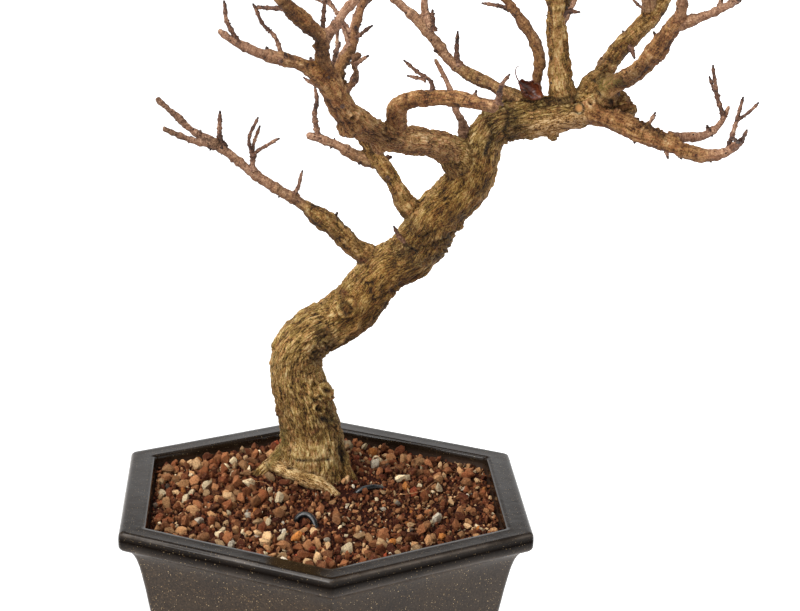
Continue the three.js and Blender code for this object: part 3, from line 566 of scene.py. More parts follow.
class Sheet:
    """Adds and joins nodes in one node tree, of a material or of Geometry Nodes."""

    def __init__(self, tree: bpy.types.NodeTree) -> None:
        """Works on the given tree."""
        self.tree = tree

    def feed(self, socket: Socket, value: object) -> None:
        """Joins a socket to another, or sets it.

        Args:
            socket: the socket.
            value: another socket or a value, or None to leave it as it is.
        """
        if isinstance(value, Socket):
            self.tree.links.new(value, socket)
        elif value is not None:
            socket.default_value = value

    def add(
        self, kind: str, inputs: dict[str | int, object] | None = None, **settings: object
    ) -> bpy.types.Node:
        """Adds a node.

        Args:
            kind: the node's type.
            inputs: what goes into its sockets, by their name or number.
            settings: the node's own options.

        Returns:
            The node.
        """
        node = self.tree.nodes.new(kind)
        for label, setting in settings.items():
            setattr(node, label, setting)
        for key, value in (inputs or {}).items():
            self.feed(node.inputs[key], value)
        return node

    def get(self, kind: str, inputs: dict[str | int, object] | None = None, **settings: object) -> Socket:
        """Adds a node and gives its first output."""
        return self.add(kind, inputs, **settings).outputs[0]

    def math(self, operation: str, *values: object) -> Socket:
        """Adds one sum on numbers."""
        return self.get("ShaderNodeMath", dict(enumerate(values)), operation=operation)

    def times(self, value: object, factor: object, plus: object = None) -> Socket:
        """Multiplies a number, and adds another if there is one."""
        return self.math("MULTIPLY" if plus is None else "MULTIPLY_ADD", value, factor, plus)

    def vector(self, operation: str, *values: object) -> Socket:
        """Adds one sum on vectors."""
        node = self.add("ShaderNodeVectorMath", dict(enumerate(values)), operation=operation)
        return node.outputs[1 if operation == "DISTANCE" else 0]

    def stretch(self, vector: object, factors: Place) -> Socket:
        """Multiplies a vector by three numbers."""
        return self.vector("MULTIPLY", vector, factors)

    def combine(self, x: object, y: object, z: object) -> Socket:
        """Makes a vector of three numbers, where None is 0."""
        return self.get("ShaderNodeCombineXYZ", {0: x, 1: y, 2: z})

    def noise(
        self, place: object, scale: object = 1, detail: float = 2, rough: float = 0.5, wide: bool = False
    ) -> Socket:
        """Adds cloudy noise between 0 and 1.

        Args:
            place: where it is read.
            scale: how many features there are in one unit of length.
            detail: how many finer layers it has.
            rough: how strong those are.
            wide: True for three numbers at once.

        Returns:
            The noise's socket.
        """
        inputs = {"Vector": place, "Scale": scale, "Detail": detail, "Roughness": rough}
        return self.add("ShaderNodeTexNoise", inputs).outputs[1 if wide else 0]

    def cells(self, place: object, scale: float = 1.0, feature: str = "F1") -> bpy.types.NodeOutputs:
        """Adds a pattern of cells and gives its outputs."""
        return self.add("ShaderNodeTexVoronoi", {"Vector": place, "Scale": scale}, feature=feature).outputs

    def warp(self, place: object, scale: float, reach: float) -> Socket:
        """Pushes places about by cloudy noise.

        Args:
            place: the places.
            scale: the noise's scale.
            reach: how far it pushes them.

        Returns:
            The new places.
        """
        cloud = self.noise(place, scale, 1.0, wide=True)
        centred = self.vector("SUBTRACT", cloud, (0.5, 0.5, 0.5))
        return self.vector("ADD", place, self.stretch(centred, (reach, reach, reach)))

    def remap(
        self, value: object, low: float, high: float, to_low: float = 0.0, to_high: float = 1.0
    ) -> Socket:
        """Turns one range into another, smoothly and with its ends held.

        Args:
            value: the number.
            low: where its range starts.
            high: where its range ends.
            to_low: what low becomes.
            to_high: what high becomes.

        Returns:
            The new number's socket.
        """
        inputs = {"Value": value, "From Min": low, "From Max": high, "To Min": to_low, "To Max": to_high}
        return self.get("ShaderNodeMapRange", inputs, interpolation_type="SMOOTHSTEP")

    def ramp(self, factor: object, stops: Stops, steps: bool = False) -> Socket:
        """Adds a row of colours.

        Args:
            factor: where along the row each point lies.
            stops: each colour's place and code.
            steps: True for hard changes between colours.

        Returns:
            The colour's socket.
        """
        node = self.add("ShaderNodeValToRGB", {0: factor})
        row = node.color_ramp
        row.interpolation = "CONSTANT" if steps else "LINEAR"
        while len(row.elements) < len(stops):
            row.elements.new(1.0)
        for element, (place, code) in zip(row.elements, stops):
            element.position = place
            element.color = linear(code)
        return node.outputs[0]

    def blend(self, factor: object, first: object, second: object, kind: str = "MIX") -> Socket:
        """Mixes two colours.

        Args:
            factor: the share of the second.
            first: a colour's socket or code.
            second: a colour's socket or code.
            kind: how they mix.

        Returns:
            The mixed colour's socket.
        """
        pair = [linear(c) if isinstance(c, str) else c for c in (first, second)]
        inputs = {0: factor, 6: pair[0], 7: pair[1]}
        return self.add("ShaderNodeMix", inputs, data_type="RGBA", blend_type=kind).outputs[2]

    def coats(self, colour: object, *layers: tuple[object, ...]) -> Socket:
        """Lays colours over one another.

        Args:
            colour: the ground.
            layers: each coat's share and colour, and how it mixes where it doesn't just cover.

        Returns:
            The colour of the whole.
        """
        for share, coat, *kind in layers:
            colour = self.blend(share, colour, coat, *kind)
        return colour

    def bump(self, height: Socket, depth: float, strength: float = 1.0) -> Socket:
        """Roughens a surface by a height between 0 and 1 that is so many mm deep."""
        inputs = {"Height": height, "Distance": depth * MM, "Strength": strength}
        return self.get("ShaderNodeBump", inputs)

    def own(self, label: str, output: str = "Fac") -> Socket:
        """Reads one of the mesh's own attributes in a material."""
        return self.add("ShaderNodeAttribute", attribute_name=label).outputs[output]

    def place(self) -> Socket:
        """Reads where a point of a material lies on its object, in metres."""
        return self.add("ShaderNodeTexCoord").outputs["Object"]

    def named(self, label: str, kind: str = "FLOAT") -> Socket:
        """Reads one of the mesh's own attributes in Geometry Nodes."""
        return self.get("GeometryNodeInputNamedAttribute", {"Name": label}, data_type=kind)

    def keep(self, geometry: Socket, label: str, value: object, domain: str = "POINT") -> Socket:
        """Keeps a number for each point or instance under a name, in Geometry Nodes."""
        inputs = {"Geometry": geometry, "Name": label, "Value": value}
        return self.get("GeometryNodeStoreNamedAttribute", inputs, data_type="FLOAT", domain=domain)

    def push(self, geometry: Socket, lift: Socket) -> Socket:
        """Moves points along their normals, in Geometry Nodes.

        Args:
            geometry: the mesh.
            lift: how far each point goes, in metres.

        Returns:
            The moved mesh.
        """
        normal = self.get("GeometryNodeInputNormal")
        offset = self.get("ShaderNodeVectorMath", {0: normal, 3: lift}, operation="SCALE")
        return self.get("GeometryNodeSetPosition", {"Geometry": geometry, "Offset": offset})


class Recipe:
    """A Geometry Nodes tree with named inputs, which turns an object's mesh into another."""

    def __init__(self, name: str, **inputs: object) -> None:
        """Starts the tree.

        Args:
            name: the tree's name.
            inputs: each input's usual value or, where it has none, its kind, with _ for a space.
        """
        self.tree = bpy.data.node_groups.new(name, "GeometryNodeTree")
        face = self.tree.interface
        face.new_socket("Geometry", in_out="INPUT", socket_type="NodeSocketGeometry")
        self.keys: dict[str, str] = {}
        for label, value in {**inputs, "Material": "Material"}.items():
            kind = {int: "Int", float: "Float"}.get(type(value), value)
            socket = face.new_socket(
                label.replace("_", " "), in_out="INPUT", socket_type=f"NodeSocket{kind}"
            )
            if kind != value:
                socket.default_value = value
            self.keys[label] = socket.identifier
        face.new_socket("Geometry", in_out="OUTPUT", socket_type="NodeSocketGeometry")
        self.sheet = Sheet(self.tree)
        self.entry = self.tree.nodes.new("NodeGroupInput")

    def given(self, label: str) -> Socket:
        """Gives an input's socket inside the tree."""
        return self.entry.outputs[label]

    def close(self, geometry: Socket) -> "Recipe":
        """Ends the tree: what it made becomes one mesh with its material.

        Args:
            geometry: what it made.

        Returns:
            The recipe itself.
        """
        real = self.sheet.get("GeometryNodeRealizeInstances", {"Geometry": geometry})
        inputs = {"Geometry": real, "Material": self.given("Material")}
        self.sheet.add("NodeGroupOutput", {0: self.sheet.get("GeometryNodeSetMaterial", inputs)})
        return self

    def run(self, piece: Piece, **values: object) -> None:
        """Puts the tree on an object and keeps the mesh that comes out.

        Args:
            piece: the object.
            values: inputs that differ from the usual, with _ for a space in their names.
        """
        modifier = piece.modifiers.new(self.tree.name, "NODES")
        modifier.node_group = self.tree
        for label, value in values.items():
            modifier[self.keys[label]] = value
        settle(piece)


class CentripetalCurve:
    """A smooth curve through points, the same as the part's own."""

    STEPS = 200

    def __init__(self, points: Array) -> None:
        """Runs the curve.

        Args:
            points: the points that it goes through.
        """
        knots = np.vstack([2 * points[0] - points[1], points, 2 * points[-1] - points[-2]])
        step = np.maximum(np.linalg.norm(np.diff(knots, axis=0), axis=1), 1e-9) ** 0.5
        self.spans = len(points) - 1
        p0, p1, p2, p3 = (knots[k : k + self.spans] for k in range(4))
        d0, d1, d2 = (step[k : k + self.spans, None] for k in range(3))
        self.start, self.end = p1, p2
        self.out = ((p1 - p0) / d0 - (p2 - p0) / (d0 + d1) + (p2 - p1) / d1) * d1
        self.into = ((p2 - p1) / d1 - (p3 - p1) / (d1 + d2) + (p3 - p2) / d2) * d1
        self.shares = np.linspace(0, 1, self.STEPS + 1)
        walked = np.linalg.norm(np.diff(self.at(self.shares), axis=0), axis=1)
        self.walk = np.concatenate([[0], np.cumsum(walked)])

    def at(self, share: Array) -> Array:
        """Gives points of the curve.

        Args:
            share: shares of the control points' own count.

        Returns:
            The points.
        """
        place = np.clip(share, 0, 1) * self.spans
        span = np.minimum(place.astype(int), self.spans - 1)
        t = (place - span)[:, None]
        a, b, m, n = self.start[span], self.end[span], self.out[span], self.into[span]
        return a + m * t + (3 * (b - a) - 2 * m - n) * t**2 + (2 * (a - b) + m + n) * t**3

    def even(self, steps: int) -> Array:
        """Gives shares that lie at even lengths along the curve."""
        return np.interp(np.linspace(0, self.walk[-1], steps + 1), self.walk, self.shares)

    def along(self, share: Array) -> Array:
        """Gives the directions of the curve."""
        step = 1e-4
        return unit(self.at(np.minimum(share + step, 1)) - self.at(np.maximum(share - step, 0)))


@dataclass
class LimbLine:
    """A limb's middle line in even steps."""

    point: Array
    radius: Array
    along: Array
    across: Array
    side: Array
    arc: Array

    @classmethod
    def of(cls, route: Route, spacing: float) -> "LimbLine":
        """Walks a route.

        Args:
            route: the control points with their radii.
            spacing: the length of a step.

        Returns:
            The line, with directions across it that don't twist.
        """
        table = np.array(route, float)
        curve = CentripetalCurve(table[:, :3])
        fewest = 2 if len(route) > 3 else 1
        share = curve.even(max(fewest, math.floor(curve.walk[-1] / spacing + 0.5)))
        along = curve.along(share)
        across = np.zeros_like(along)
        last = np.array([0.0, 1.0, 0.0])
        for k, direction in enumerate(along):
            last = unit(last - direction * (last @ direction))
            across[k] = last
        radius = np.interp(share * (len(route) - 1), range(len(route)), table[:, 3])
        arc = np.interp(share, curve.shares, curve.walk)
        return cls(curve.at(share), radius, along, across, np.cross(along, across), arc)

    def slice(self, start: int, end: int | None = None) -> "LimbLine":
        """Gives a stretch of the line."""
        fields = (self.point, self.radius, self.along, self.across, self.side, self.arc)
        return LimbLine(*(values[start:end] for values in fields))

    def out(self, k: int, turn: float) -> Array:
        """Gives the direction away from the line at a step and an angle round it."""
        return math.cos(turn) * self.across[k] + math.sin(turn) * self.side[k]

    def rod(self, sides: int) -> Skin:
        """Makes a plain round skin."""
        return sweep(self, np.repeat(self.radius[:, None], sides, axis=1))


def sweep(line: LimbLine, reach: Array) -> Skin:
    """Makes a closed skin round a line.

    Args:
        line: the middle line.
        reach: the skin's distance from it, as rings by sides.

    Returns:
        Points and faces.
    """
    rings, sides = reach.shape
    angle = spokes(sides)
    outward = line.across[:, None] * np.cos(angle)[None, :, None]
    outward = outward + line.side[:, None] * np.sin(angle)[None, :, None]
    skin = (line.point[:, None] + outward * reach[:, :, None]).reshape(-1, 3)
    tip = line.point[-1] + line.along[-1] * 0.7 * reach[-1].mean()
    faces: Faces = []
    first, end, last = rings * sides, rings * sides + 1, (rings - 1) * sides
    for k in range(sides):
        after = (k + 1) % sides
        faces += [(r + k, r + after, r + sides + after, r + sides + k) for r in range(0, last, sides)]
        faces.append((first, after, k))
        faces.append((end, last + k, last + after))
    return np.vstack([skin, line.point[:1], tip[None]]), faces


@dataclass(frozen=True)
class Fade:
    """How strong something is at a distance from a mark's middle, in shares of the mark's reach.

    It is a bell round its middle with its width or, where it is level, it holds from 0 to its
    middle and has faded away at its width.
    """

    amount: float
    middle: float = 0.0
    width: float = 0.8
    level: bool = False

    def at(self, distance: Array) -> Array:
        """Gives the strength at distances."""
        if self.level:
            return self.amount * (1 - smooth_step(distance, self.middle, self.width))
        return self.amount * bell(distance, self.middle, self.width)


@dataclass(frozen=True)
class MarkLook:
    """How a kind of mark colours the bark, by the tint's name, and how it lifts it, in mm."""

    tints: dict[str, Fade]
    lifts: tuple[Fade, ...] = ()
    lumpy: bool = False


MARK_LOOKS = {
    MarkKind.SCAR: MarkLook(
        {"pale": Fade(1, 0.85, 0.2), "dark": Fade(0.7, 0.55, 0.13), "red": Fade(0.9, 0, 0.4)},
        (Fade(1.3, 0.85, 0.24), Fade(-0.9, 0, 0.5)),
    ),
    MarkKind.STUB: MarkLook(
        {"pale": Fade(1, 0.8, 0.24), "dark": Fade(1, 0, 0.45)}, (Fade(1.3, 0.8, 0.25), Fade(-2, 0, 0.42))
    ),
    MarkKind.CUT: MarkLook(
        {"wound": Fade(1, 0.6, 0.85, True), "dark": Fade(0.85, 1.05, 0.2)},
        (Fade(0.7, 1, 0.22), Fade(-0.4, 0, 0.6)),
    ),
    MarkKind.BARE: MarkLook({"bare": Fade(0.95, 0.45, 1, True)}),
    MarkKind.TAN: MarkLook({"bare": Fade(0.55, 0.5, 1, True)}),
    MarkKind.PALE: MarkLook({"pale": Fade(1, 0.4, 1, True)}),
    MarkKind.DULL: MarkLook({"dull": Fade(1, 0.5, 1.1, True)}),
    MarkKind.MOSS: MarkLook({"moss": Fade(1, 0, 0.7)}, (Fade(0.35),)),
    MarkKind.CRACK: MarkLook({"dark": Fade(0.95, 0, 0.7)}, (Fade(-1.1),)),
    MarkKind.FLAKE: MarkLook({"pale": Fade(0.9)}, (Fade(1.2, 0, 0.7),)),
    MarkKind.BURL: MarkLook({"red": Fade(1)}, (Fade(1),), True),
    # Painted shade, in part: SHADE darkens creases, joins and shaded stretches, besides dark rough bark.
    MarkKind.SHADE: MarkLook({"dark": Fade(0.5, 0, 0.75)}, (Fade(1),), True),
}


@dataclass(frozen=True)
class Mark:
    """A mark on the bark, spread round a short stretch between two places."""

    kind: MarkKind
    start: Place
    end: Place
    reach: float
    depth_share: float = 0.45

    def distance(self, points: Array) -> Array:
        """Gives how far points lie from the mark's stretch.

        Args:
            points: the points.

        Returns:
            Their distances as shares of its reach.
        """
        squeeze = np.array((1, self.depth_share, 1))
        a, b = self.start * squeeze, self.end * squeeze
        run, away = b - a, points * squeeze - a
        share = np.clip(away @ run / max(run @ run, 1e-9), 0, 1)
        return np.linalg.norm(away - share[:, None] * run, axis=1) / self.reach

    def press(self, points: Array, lift: Array, tints: dict[str, Array]) -> None:
        """Adds the mark to what points have so far.

        Args:
            points: the points.
            lift: how far each is lifted, in mm.
            tints: how strongly each is coloured, by the tint's name.
        """
        look = MARK_LOOKS[self.kind]
        distance = self.distance(points)
        height = sum(fade.at(distance) for fade in look.lifts)
        if look.lumpy:
            lumps = np.sin(points @ (1.9, 0.6, 1.5)) + np.sin(points @ (-0.9, 1.7, 2.1) + 1)
            height = (0.6 + 0.55 * lumps) * height
        lift += height
        for tint, fade in look.tints.items():
            tints[tint] = np.maximum(tints[tint], fade.at(distance))


# Where marks lie, each as its stretch's two ends and its reach.
MARK_ROWS: Sequence[tuple[MarkKind, Sequence[tuple[float, ...]]]] = (
    (MarkKind.STUB, (
        (0.2, 22, 125.4, 2.4, 22, 124, 2.6), (-3.6, 21, 115.8, -1.4, 21, 114.6, 2.4),
        (-2.6, 20.6, 122, -1.6, 20.6, 121.6, 1.7), (126.1, 6.5, 277, 126.1, 6.5, 277, 2.2),
        (8.6, -49, 279.6, 8.6, -49, 279.6, 2.6),
    )),
    (MarkKind.CRACK, (
        (-6, 20.5, 120.5, -1, 20.5, 119, 1.1), (-1, 21, 110, 3.5, 23, 108, 2.6),
        (128, 4, 283, 136, 3, 278.6, 1.2), (-16, 21.4, 87.0, -9, 18.6, 88.2, 1.1),
        (-9, 18.6, 88.2, 3, 19.6, 88.5, 1.2), (-18, 23.4, 83.0, -4, 17.5, 81.5, 1.0),
        (4, 21, 93, 5.5, 22, 84, 0.7), (-17.5, 27, 93, -17, 26, 85, 0.7), (9, 25, 93, 10.5, 26, 86, 2.2),
        (52, 9, 205.4, 61, 10.5, 209.6, 1.5), (38, 12, 203.5, 44, 11, 201, 2.6),
        (59.6, 9, 219, 65, 8, 229.5, 1.3), (75.6, 3.6, 252, 78.6, 4, 262, 2.0),
        (84, 3.2, 262.5, 86, 3.2, 271, 1.3),
    )),
    (MarkKind.FLAKE, (
        (-9.5, 20, 130.2, -3, 21.5, 129.4, 1.7), (-8, 20, 125, -4, 20.5, 122.6, 1.6),
        (1.5, 23.5, 120.6, 4.6, 25, 120.2, 2.1), (-5, 20.5, 118, -2.5, 20.5, 117.6, 1.1),
        (12.8, 17.4, 174, 17.4, 17, 168, 2.1), (17.8, 17, 166.6, 15.4, 18.5, 159.6, 2.0),
        (15.4, 18.5, 159.6, 9.8, 19.3, 154.6, 1.4), (-2, 21, 127.6, 1.6, 22, 128, 1.3),
        (-8, 20, 118.6, -5.6, 20, 121, 1.1), (-18, 28, 160.5, -15, 28, 162, 1.6),
        (31, 20, 173.5, 32, 20, 176, 2.3), (131, 3, 280, 135.5, 2, 283, 2.2),
        (67.7, 4.6, 235.7, 66, 5, 229, 1.6), (51, 7.6, 208.6, 61.5, 9, 213.4, 1.6),
        (13, 20.5, 198, 22, 20, 193.8, 1.5), (-6.5, -59, 296.5, -6.5, -59, 296.5, 1.9),
    )),
    (MarkKind.SCAR, ((9.6, 16.4, 171, 10.8, 16.4, 169, 4.0),)),
    # SHADE rows: partly painted shade in creases, at joins and on shaded stretches, and partly dark rough
    # bark.
    (MarkKind.SHADE, (
        (-1.8, 17.5, 157, -4.7, 19, 142, 5.6), (3, 17.5, 153, 0, 19, 149, 4.0),
        (3.1, 24, 112, 5, 26, 104, 4.2), (85, 4, 275, 90, 3.5, 262, 6.4),
        (76, 6.7, 270, 78.3, 3, 260, 4.6), (47, 8, 205, 36, 14, 199, 5.4), (97, 5, 276, 118, 6, 279, 3.2),
        (-24, 33, 79, -20, 30, 76, 2.6), (19, -36, 273, 28, -30, 266, 5.4),
        (130, 11, 286, 136, 12, 297, 3.0), (-55, 9, 254, -64, 9, 258, 3.4), (5, 30, 277, 12, 28, 296, 3.6),
        (-6, -60, 306, -8, -62, 318, 3.6), (43, 9, 212, 59, 11, 206, 6.5), (69, 12, 252, 64, 9, 268, 4.5),
        (7, 31, 270, 5, 31, 284, 4.5), (12, 28, 282, 13, 26, 296, 3.5), (-24, -69, 334, -6, -60, 312, 4.0),
        (57, 15, 200, 46, 12, 196, 5.0), (-70, 8, 257, -80, 6, 262, 3.2),
        (-70, 14, 263, -83, 16, 274, 3.0), (147.9, -9.6, 271.3, 158, -18, 267, 4.4),
        (140, -6, 291.5, 147, -18, 298, 4.6), (136, 1, 276, 144, 4, 272, 3.6),
    )),
    (MarkKind.BURL, (
        (7.8, 21, 177, 10, 21, 176.4, 1.7), (-13, 22, 123, -11, 22, 124, 1.5),
        (-6, 18.5, 103, -4, 18.5, 105, 1.4), (-23.5, 30, 108, -22.5, 30, 113, 2.4),
        (138, 5, 270.6, 146.6, 8, 279, 4.6), (33, 14, 204, 36, 13, 208, 1.8),
        (17, 20.5, 194, 24, 20, 191, 1.7),
    )),
    (MarkKind.PALE, (
        (-26.5, 31, 149, -24.5, 31, 153, 2.4), (-12, 19, 92, 1, 18, 89, 11.5),
        (71, 3.3, 245.4, 69, 4, 238, 4.2), (109.4, 6.5, 286, 108.6, 6.5, 324, 4.3),
    )),
    (MarkKind.CUT, (
        (3.4, 23, 119.8, 3.6, 23, 119, 1.5), (0.6, 17.4, 158.6, 0.6, 17.4, 158.6, 1.2),
        (7.2, 26, 104.6, 7.6, 26, 102.6, 1.25), (120.4, 5.5, 274.8, 120.4, 5.5, 274.8, 2.4),
    )),
    (MarkKind.DULL, (
        (14, 20, 166, 34, 20, 188, 13.0), (48, 14, 206, 72, 10, 242, 12.0),
        (5, 32, 286, 16, 36, 330, 11.0), (-4, -57, 304, -30, -70, 342, 8.0),
        (102, 18, 284, 84, 23, 326, 9.0),
    )),
    (MarkKind.BARE, ((102, 4, 264, 119, 5, 268, 7.0),)),
    (MarkKind.MOSS, (
        (131, 1, 286, 135, 1, 290, 4.0), (-20.5, 33.8, 90, -27, 34, 80, 3.0),
        (-19.4, 31, 104, -20.4, 31.6, 94, 2.6), (131.5, 5, 287, 138, -5, 290, 4.0),
    )),
    (MarkKind.TAN, ((-26, 31, 80, 8, 6, 76, 6.4),)),
)
MARKS = tuple(Mark(kind, row[:3], row[3:6], row[6]) for kind, rows in MARK_ROWS for row in rows)
TINTS = ("bare", "pale", "moss", "wound", "dark", "red", "dull")


@dataclass(frozen=True)
class Finish:
    """A material with one roughness and one strength of reflection."""

    name: str
    roughness: float = 0.6
    specular: float = 0.4

    def paint(self, sheet: Sheet) -> Inputs:
        """Gives what goes into the shader, by its sockets' names, in place of the plain values."""
        raise NotImplementedError

    def build(self) -> Material:
        """Makes the material.

        Returns:
            The material.
        """
        material = bpy.data.materials.new(self.name)
        material.use_nodes = True
        sheet = Sheet(material.node_tree)
        shader = material.node_tree.nodes["Principled BSDF"]
        plain = {"Roughness": self.roughness, "Specular IOR Level": self.specular}
        for label, value in {**plain, **self.paint(sheet)}.items():
            sheet.feed(shader.inputs[label], value)
        return material


@dataclass(frozen=True)
class BarkFinish(Finish):
    """Living bark: lengthwise fibres over dark furrows, smoother and redder where it is young."""

    name: str = "bark"
    roughness: float = 0.68
    specular: float = 0.24
    old: Stops = (
        (0.14, "#1e1207"), (0.3, "#4f3815"), (0.43, "#8b6b39"), (0.56, "#b3915a"), (0.7, "#d6b784"),
        (0.88, "#f2ddb2"),
    )
    young: Stops = (
        (0.16, "#38221a"), (0.36, "#77513c"), (0.54, "#a67b60"), (0.76, "#cfa88a"), (0.95, "#ecd3b8"),
    )
    bare: Stops = ((0.2, "#472a12"), (0.36, "#9c6f3c"), (0.48, "#d5a869"), (0.66, "#f7dcab"))
    plates: Stops = (
        (0.0, "#b7967c"), (0.22, "#c0c2b6"), (0.4, "#b2b690"), (0.62, "#c9c4ac"), (0.84, "#b09e82"),
    )
    lichen: str = "#a39a62"
    rust: str = "#80553a"
    limb: str = "#b08b62"

    def paint(self, sheet: Sheet) -> Inputs:
        """Gives what the bark feeds its shader.

        Args:
            sheet: the material's nodes.

        Returns:
            The shader's inputs, by their names.
        """
        grain = sheet.warp(sheet.own("grain", "Vector"), 0.16, 2.2)
        thick = sheet.remap(sheet.own("girth"), 3.2, 8.5)
        slits = sheet.stretch(grain, (0.95, 0.95, 0.14))
        seam = sheet.cells(slits, 1, "DISTANCE_TO_EDGE")["Distance"]
        furrow = sheet.times(sheet.remap(seam, 0.01, 0.17, 1, 0), sheet.remap(thick, 0, 1, 0.25, 1))
        strip = sheet.get("ShaderNodeSeparateColor", {0: sheet.cells(slits)["Color"]})
        fibre = sheet.noise(sheet.stretch(grain, (2.4, 2.4, 0.32)), 1, 4, 0.66)
        ring = sheet.noise(sheet.stretch(grain, (0.22, 0.22, 1.5)), 1, 3, 0.65)
        weave = sheet.blend(sheet.remap(thick, 0, 1, 0.5, 0.12), fibre, ring)
        place = sheet.place()
        grit = sheet.noise(place, 1250, 4, 0.75)
        height = sheet.times(strip, 0.07, sheet.times(weave, 0.52, sheet.times(grit, 0.52)))
        patch = sheet.noise(sheet.vector("ADD", place, (1, 5, 2)), 110, 3, 0.6)
        lifted = sheet.times(sheet.own("relief"), 0.06, sheet.times(patch, 0.15, height))
        contrast = sheet.times(sheet.own("dull"), 0.25, sheet.remap(thick, 0, 1, 2.2, 1.85))
        middle = sheet.remap(thick, 0, 1, 0.55, 0.575)
        lifted = sheet.times(sheet.math("SUBTRACT", lifted, 0.635), contrast, middle)
        tone = sheet.times(furrow, -0.19, sheet.times(sheet.own("pale"), 0.14, lifted))
        cloud = sheet.noise(place, 110, 5, 0.65)
        old = sheet.ramp(tone, self.old)
        plates = sheet.cells(sheet.stretch(grain, (1.2, 1.2, 0.4)))["Color"]
        kind = sheet.get("ShaderNodeSeparateColor", {0: plates})
        old = sheet.blend(0.5, old, sheet.ramp(kind, self.plates, steps=True), "OVERLAY")
        clean = sheet.remap(sheet.own("pale"), 0, 1, 1, 0.3)
        green = sheet.times(sheet.remap(cloud, 0.44, 0.66, 0, 0.6), clean)
        old = sheet.blend(green, old, self.lichen, "MULTIPLY")
        rust = sheet.noise(sheet.vector("ADD", place, (3, 1, 2)), 240, 4, 0.7)
        old = sheet.blend(sheet.remap(rust, 0.52, 0.7, 0, 0.4), old, self.rust)
        old = sheet.blend(sheet.remap(thick, 0.2, 1, 0.42, 0), old, self.limb, "MULTIPLY")
        pores = sheet.cells(sheet.stretch(grain, (0.55, 0.55, 0.7)), 1)["Distance"]
        vivid = sheet.times(sheet.math("SUBTRACT", height, 0.5), 2, 0.44)
        band = sheet.noise(sheet.stretch(grain, (0.12, 0.12, 0.26)), 1, 4, 0.65)
        fresh = sheet.coats(
            sheet.ramp(vivid, self.young),
            (sheet.remap(band, 0.54, 0.68, 0, 0.65), "#4a3024"),
            (sheet.remap(pores, 0.1, 0.2, 0.45, 0), "#d6b692"),
            (sheet.remap(cloud, 0.5, 0.7, 0, 0.45), self.lichen, "MULTIPLY"),
        )
        rough_edge = sheet.remap(grit, 0.4, 0.6)
        colour = sheet.coats(
            old,
            (sheet.own("young"), fresh),
            (sheet.own("bare"), sheet.ramp(tone, self.bare)),
            (sheet.times(sheet.own("moss"), rough_edge), "#66602b"),
            (sheet.times(sheet.own("red"), rough_edge), "#7e4a2f"),
            # Painted shade: the undersides of the wood are darkened by the 'under' value.
            (sheet.times(sheet.own("under"), 0.7), "#8d7460", "MULTIPLY"),
            (sheet.own("dull"), "#dccfb4", "MULTIPLY"),
            (sheet.own("wound"), "#cb955b"),
            # The dark tint: real cracks, hollows and scars, and painted shade where SHADE marks lie.
            (sheet.times(sheet.own("dark"), sheet.remap(height, 0.48, 0.76, 1.2, 0.5)), "#1b120a"),
        )
        return {"Base Color": colour, "Normal": sheet.bump(tone, 0.9)}


@dataclass(frozen=True)
class TwigFinish(Finish):
    """Last year's twigs and buds: thin red-brown bark with pale pores."""

    name: str = "twig_bark"
    roughness: float = 0.62
    specular: float = 0.3
    colours: Stops = ((0.22, "#1c0f09"), (0.42, "#503324"), (0.58, "#7e5a45"), (0.8, "#c09f80"))

    def paint(self, sheet: Sheet) -> Inputs:
        """Gives what the twigs feed their shader.

        Args:
            sheet: the material's nodes.

        Returns:
            The shader's inputs, by their names.
        """
        place = sheet.place()
        fine = sheet.noise(place, 1100, 4, 0.65)
        broad = sheet.noise(place, 120, 2, 0.5)
        tone = sheet.times(fine, 1, sheet.times(broad, 0.9, -0.48))
        colour = sheet.ramp(tone, self.colours)
        pores = sheet.cells(place, 900)["Distance"]
        colour = sheet.blend(sheet.remap(pores, 0.12, 0.25, 0.4, 0), colour, "#b99878")
        colour = sheet.blend(sheet.own("bud"), colour, "#24130c")
        return {"Base Color": colour, "Normal": sheet.bump(fine, 0.25)}


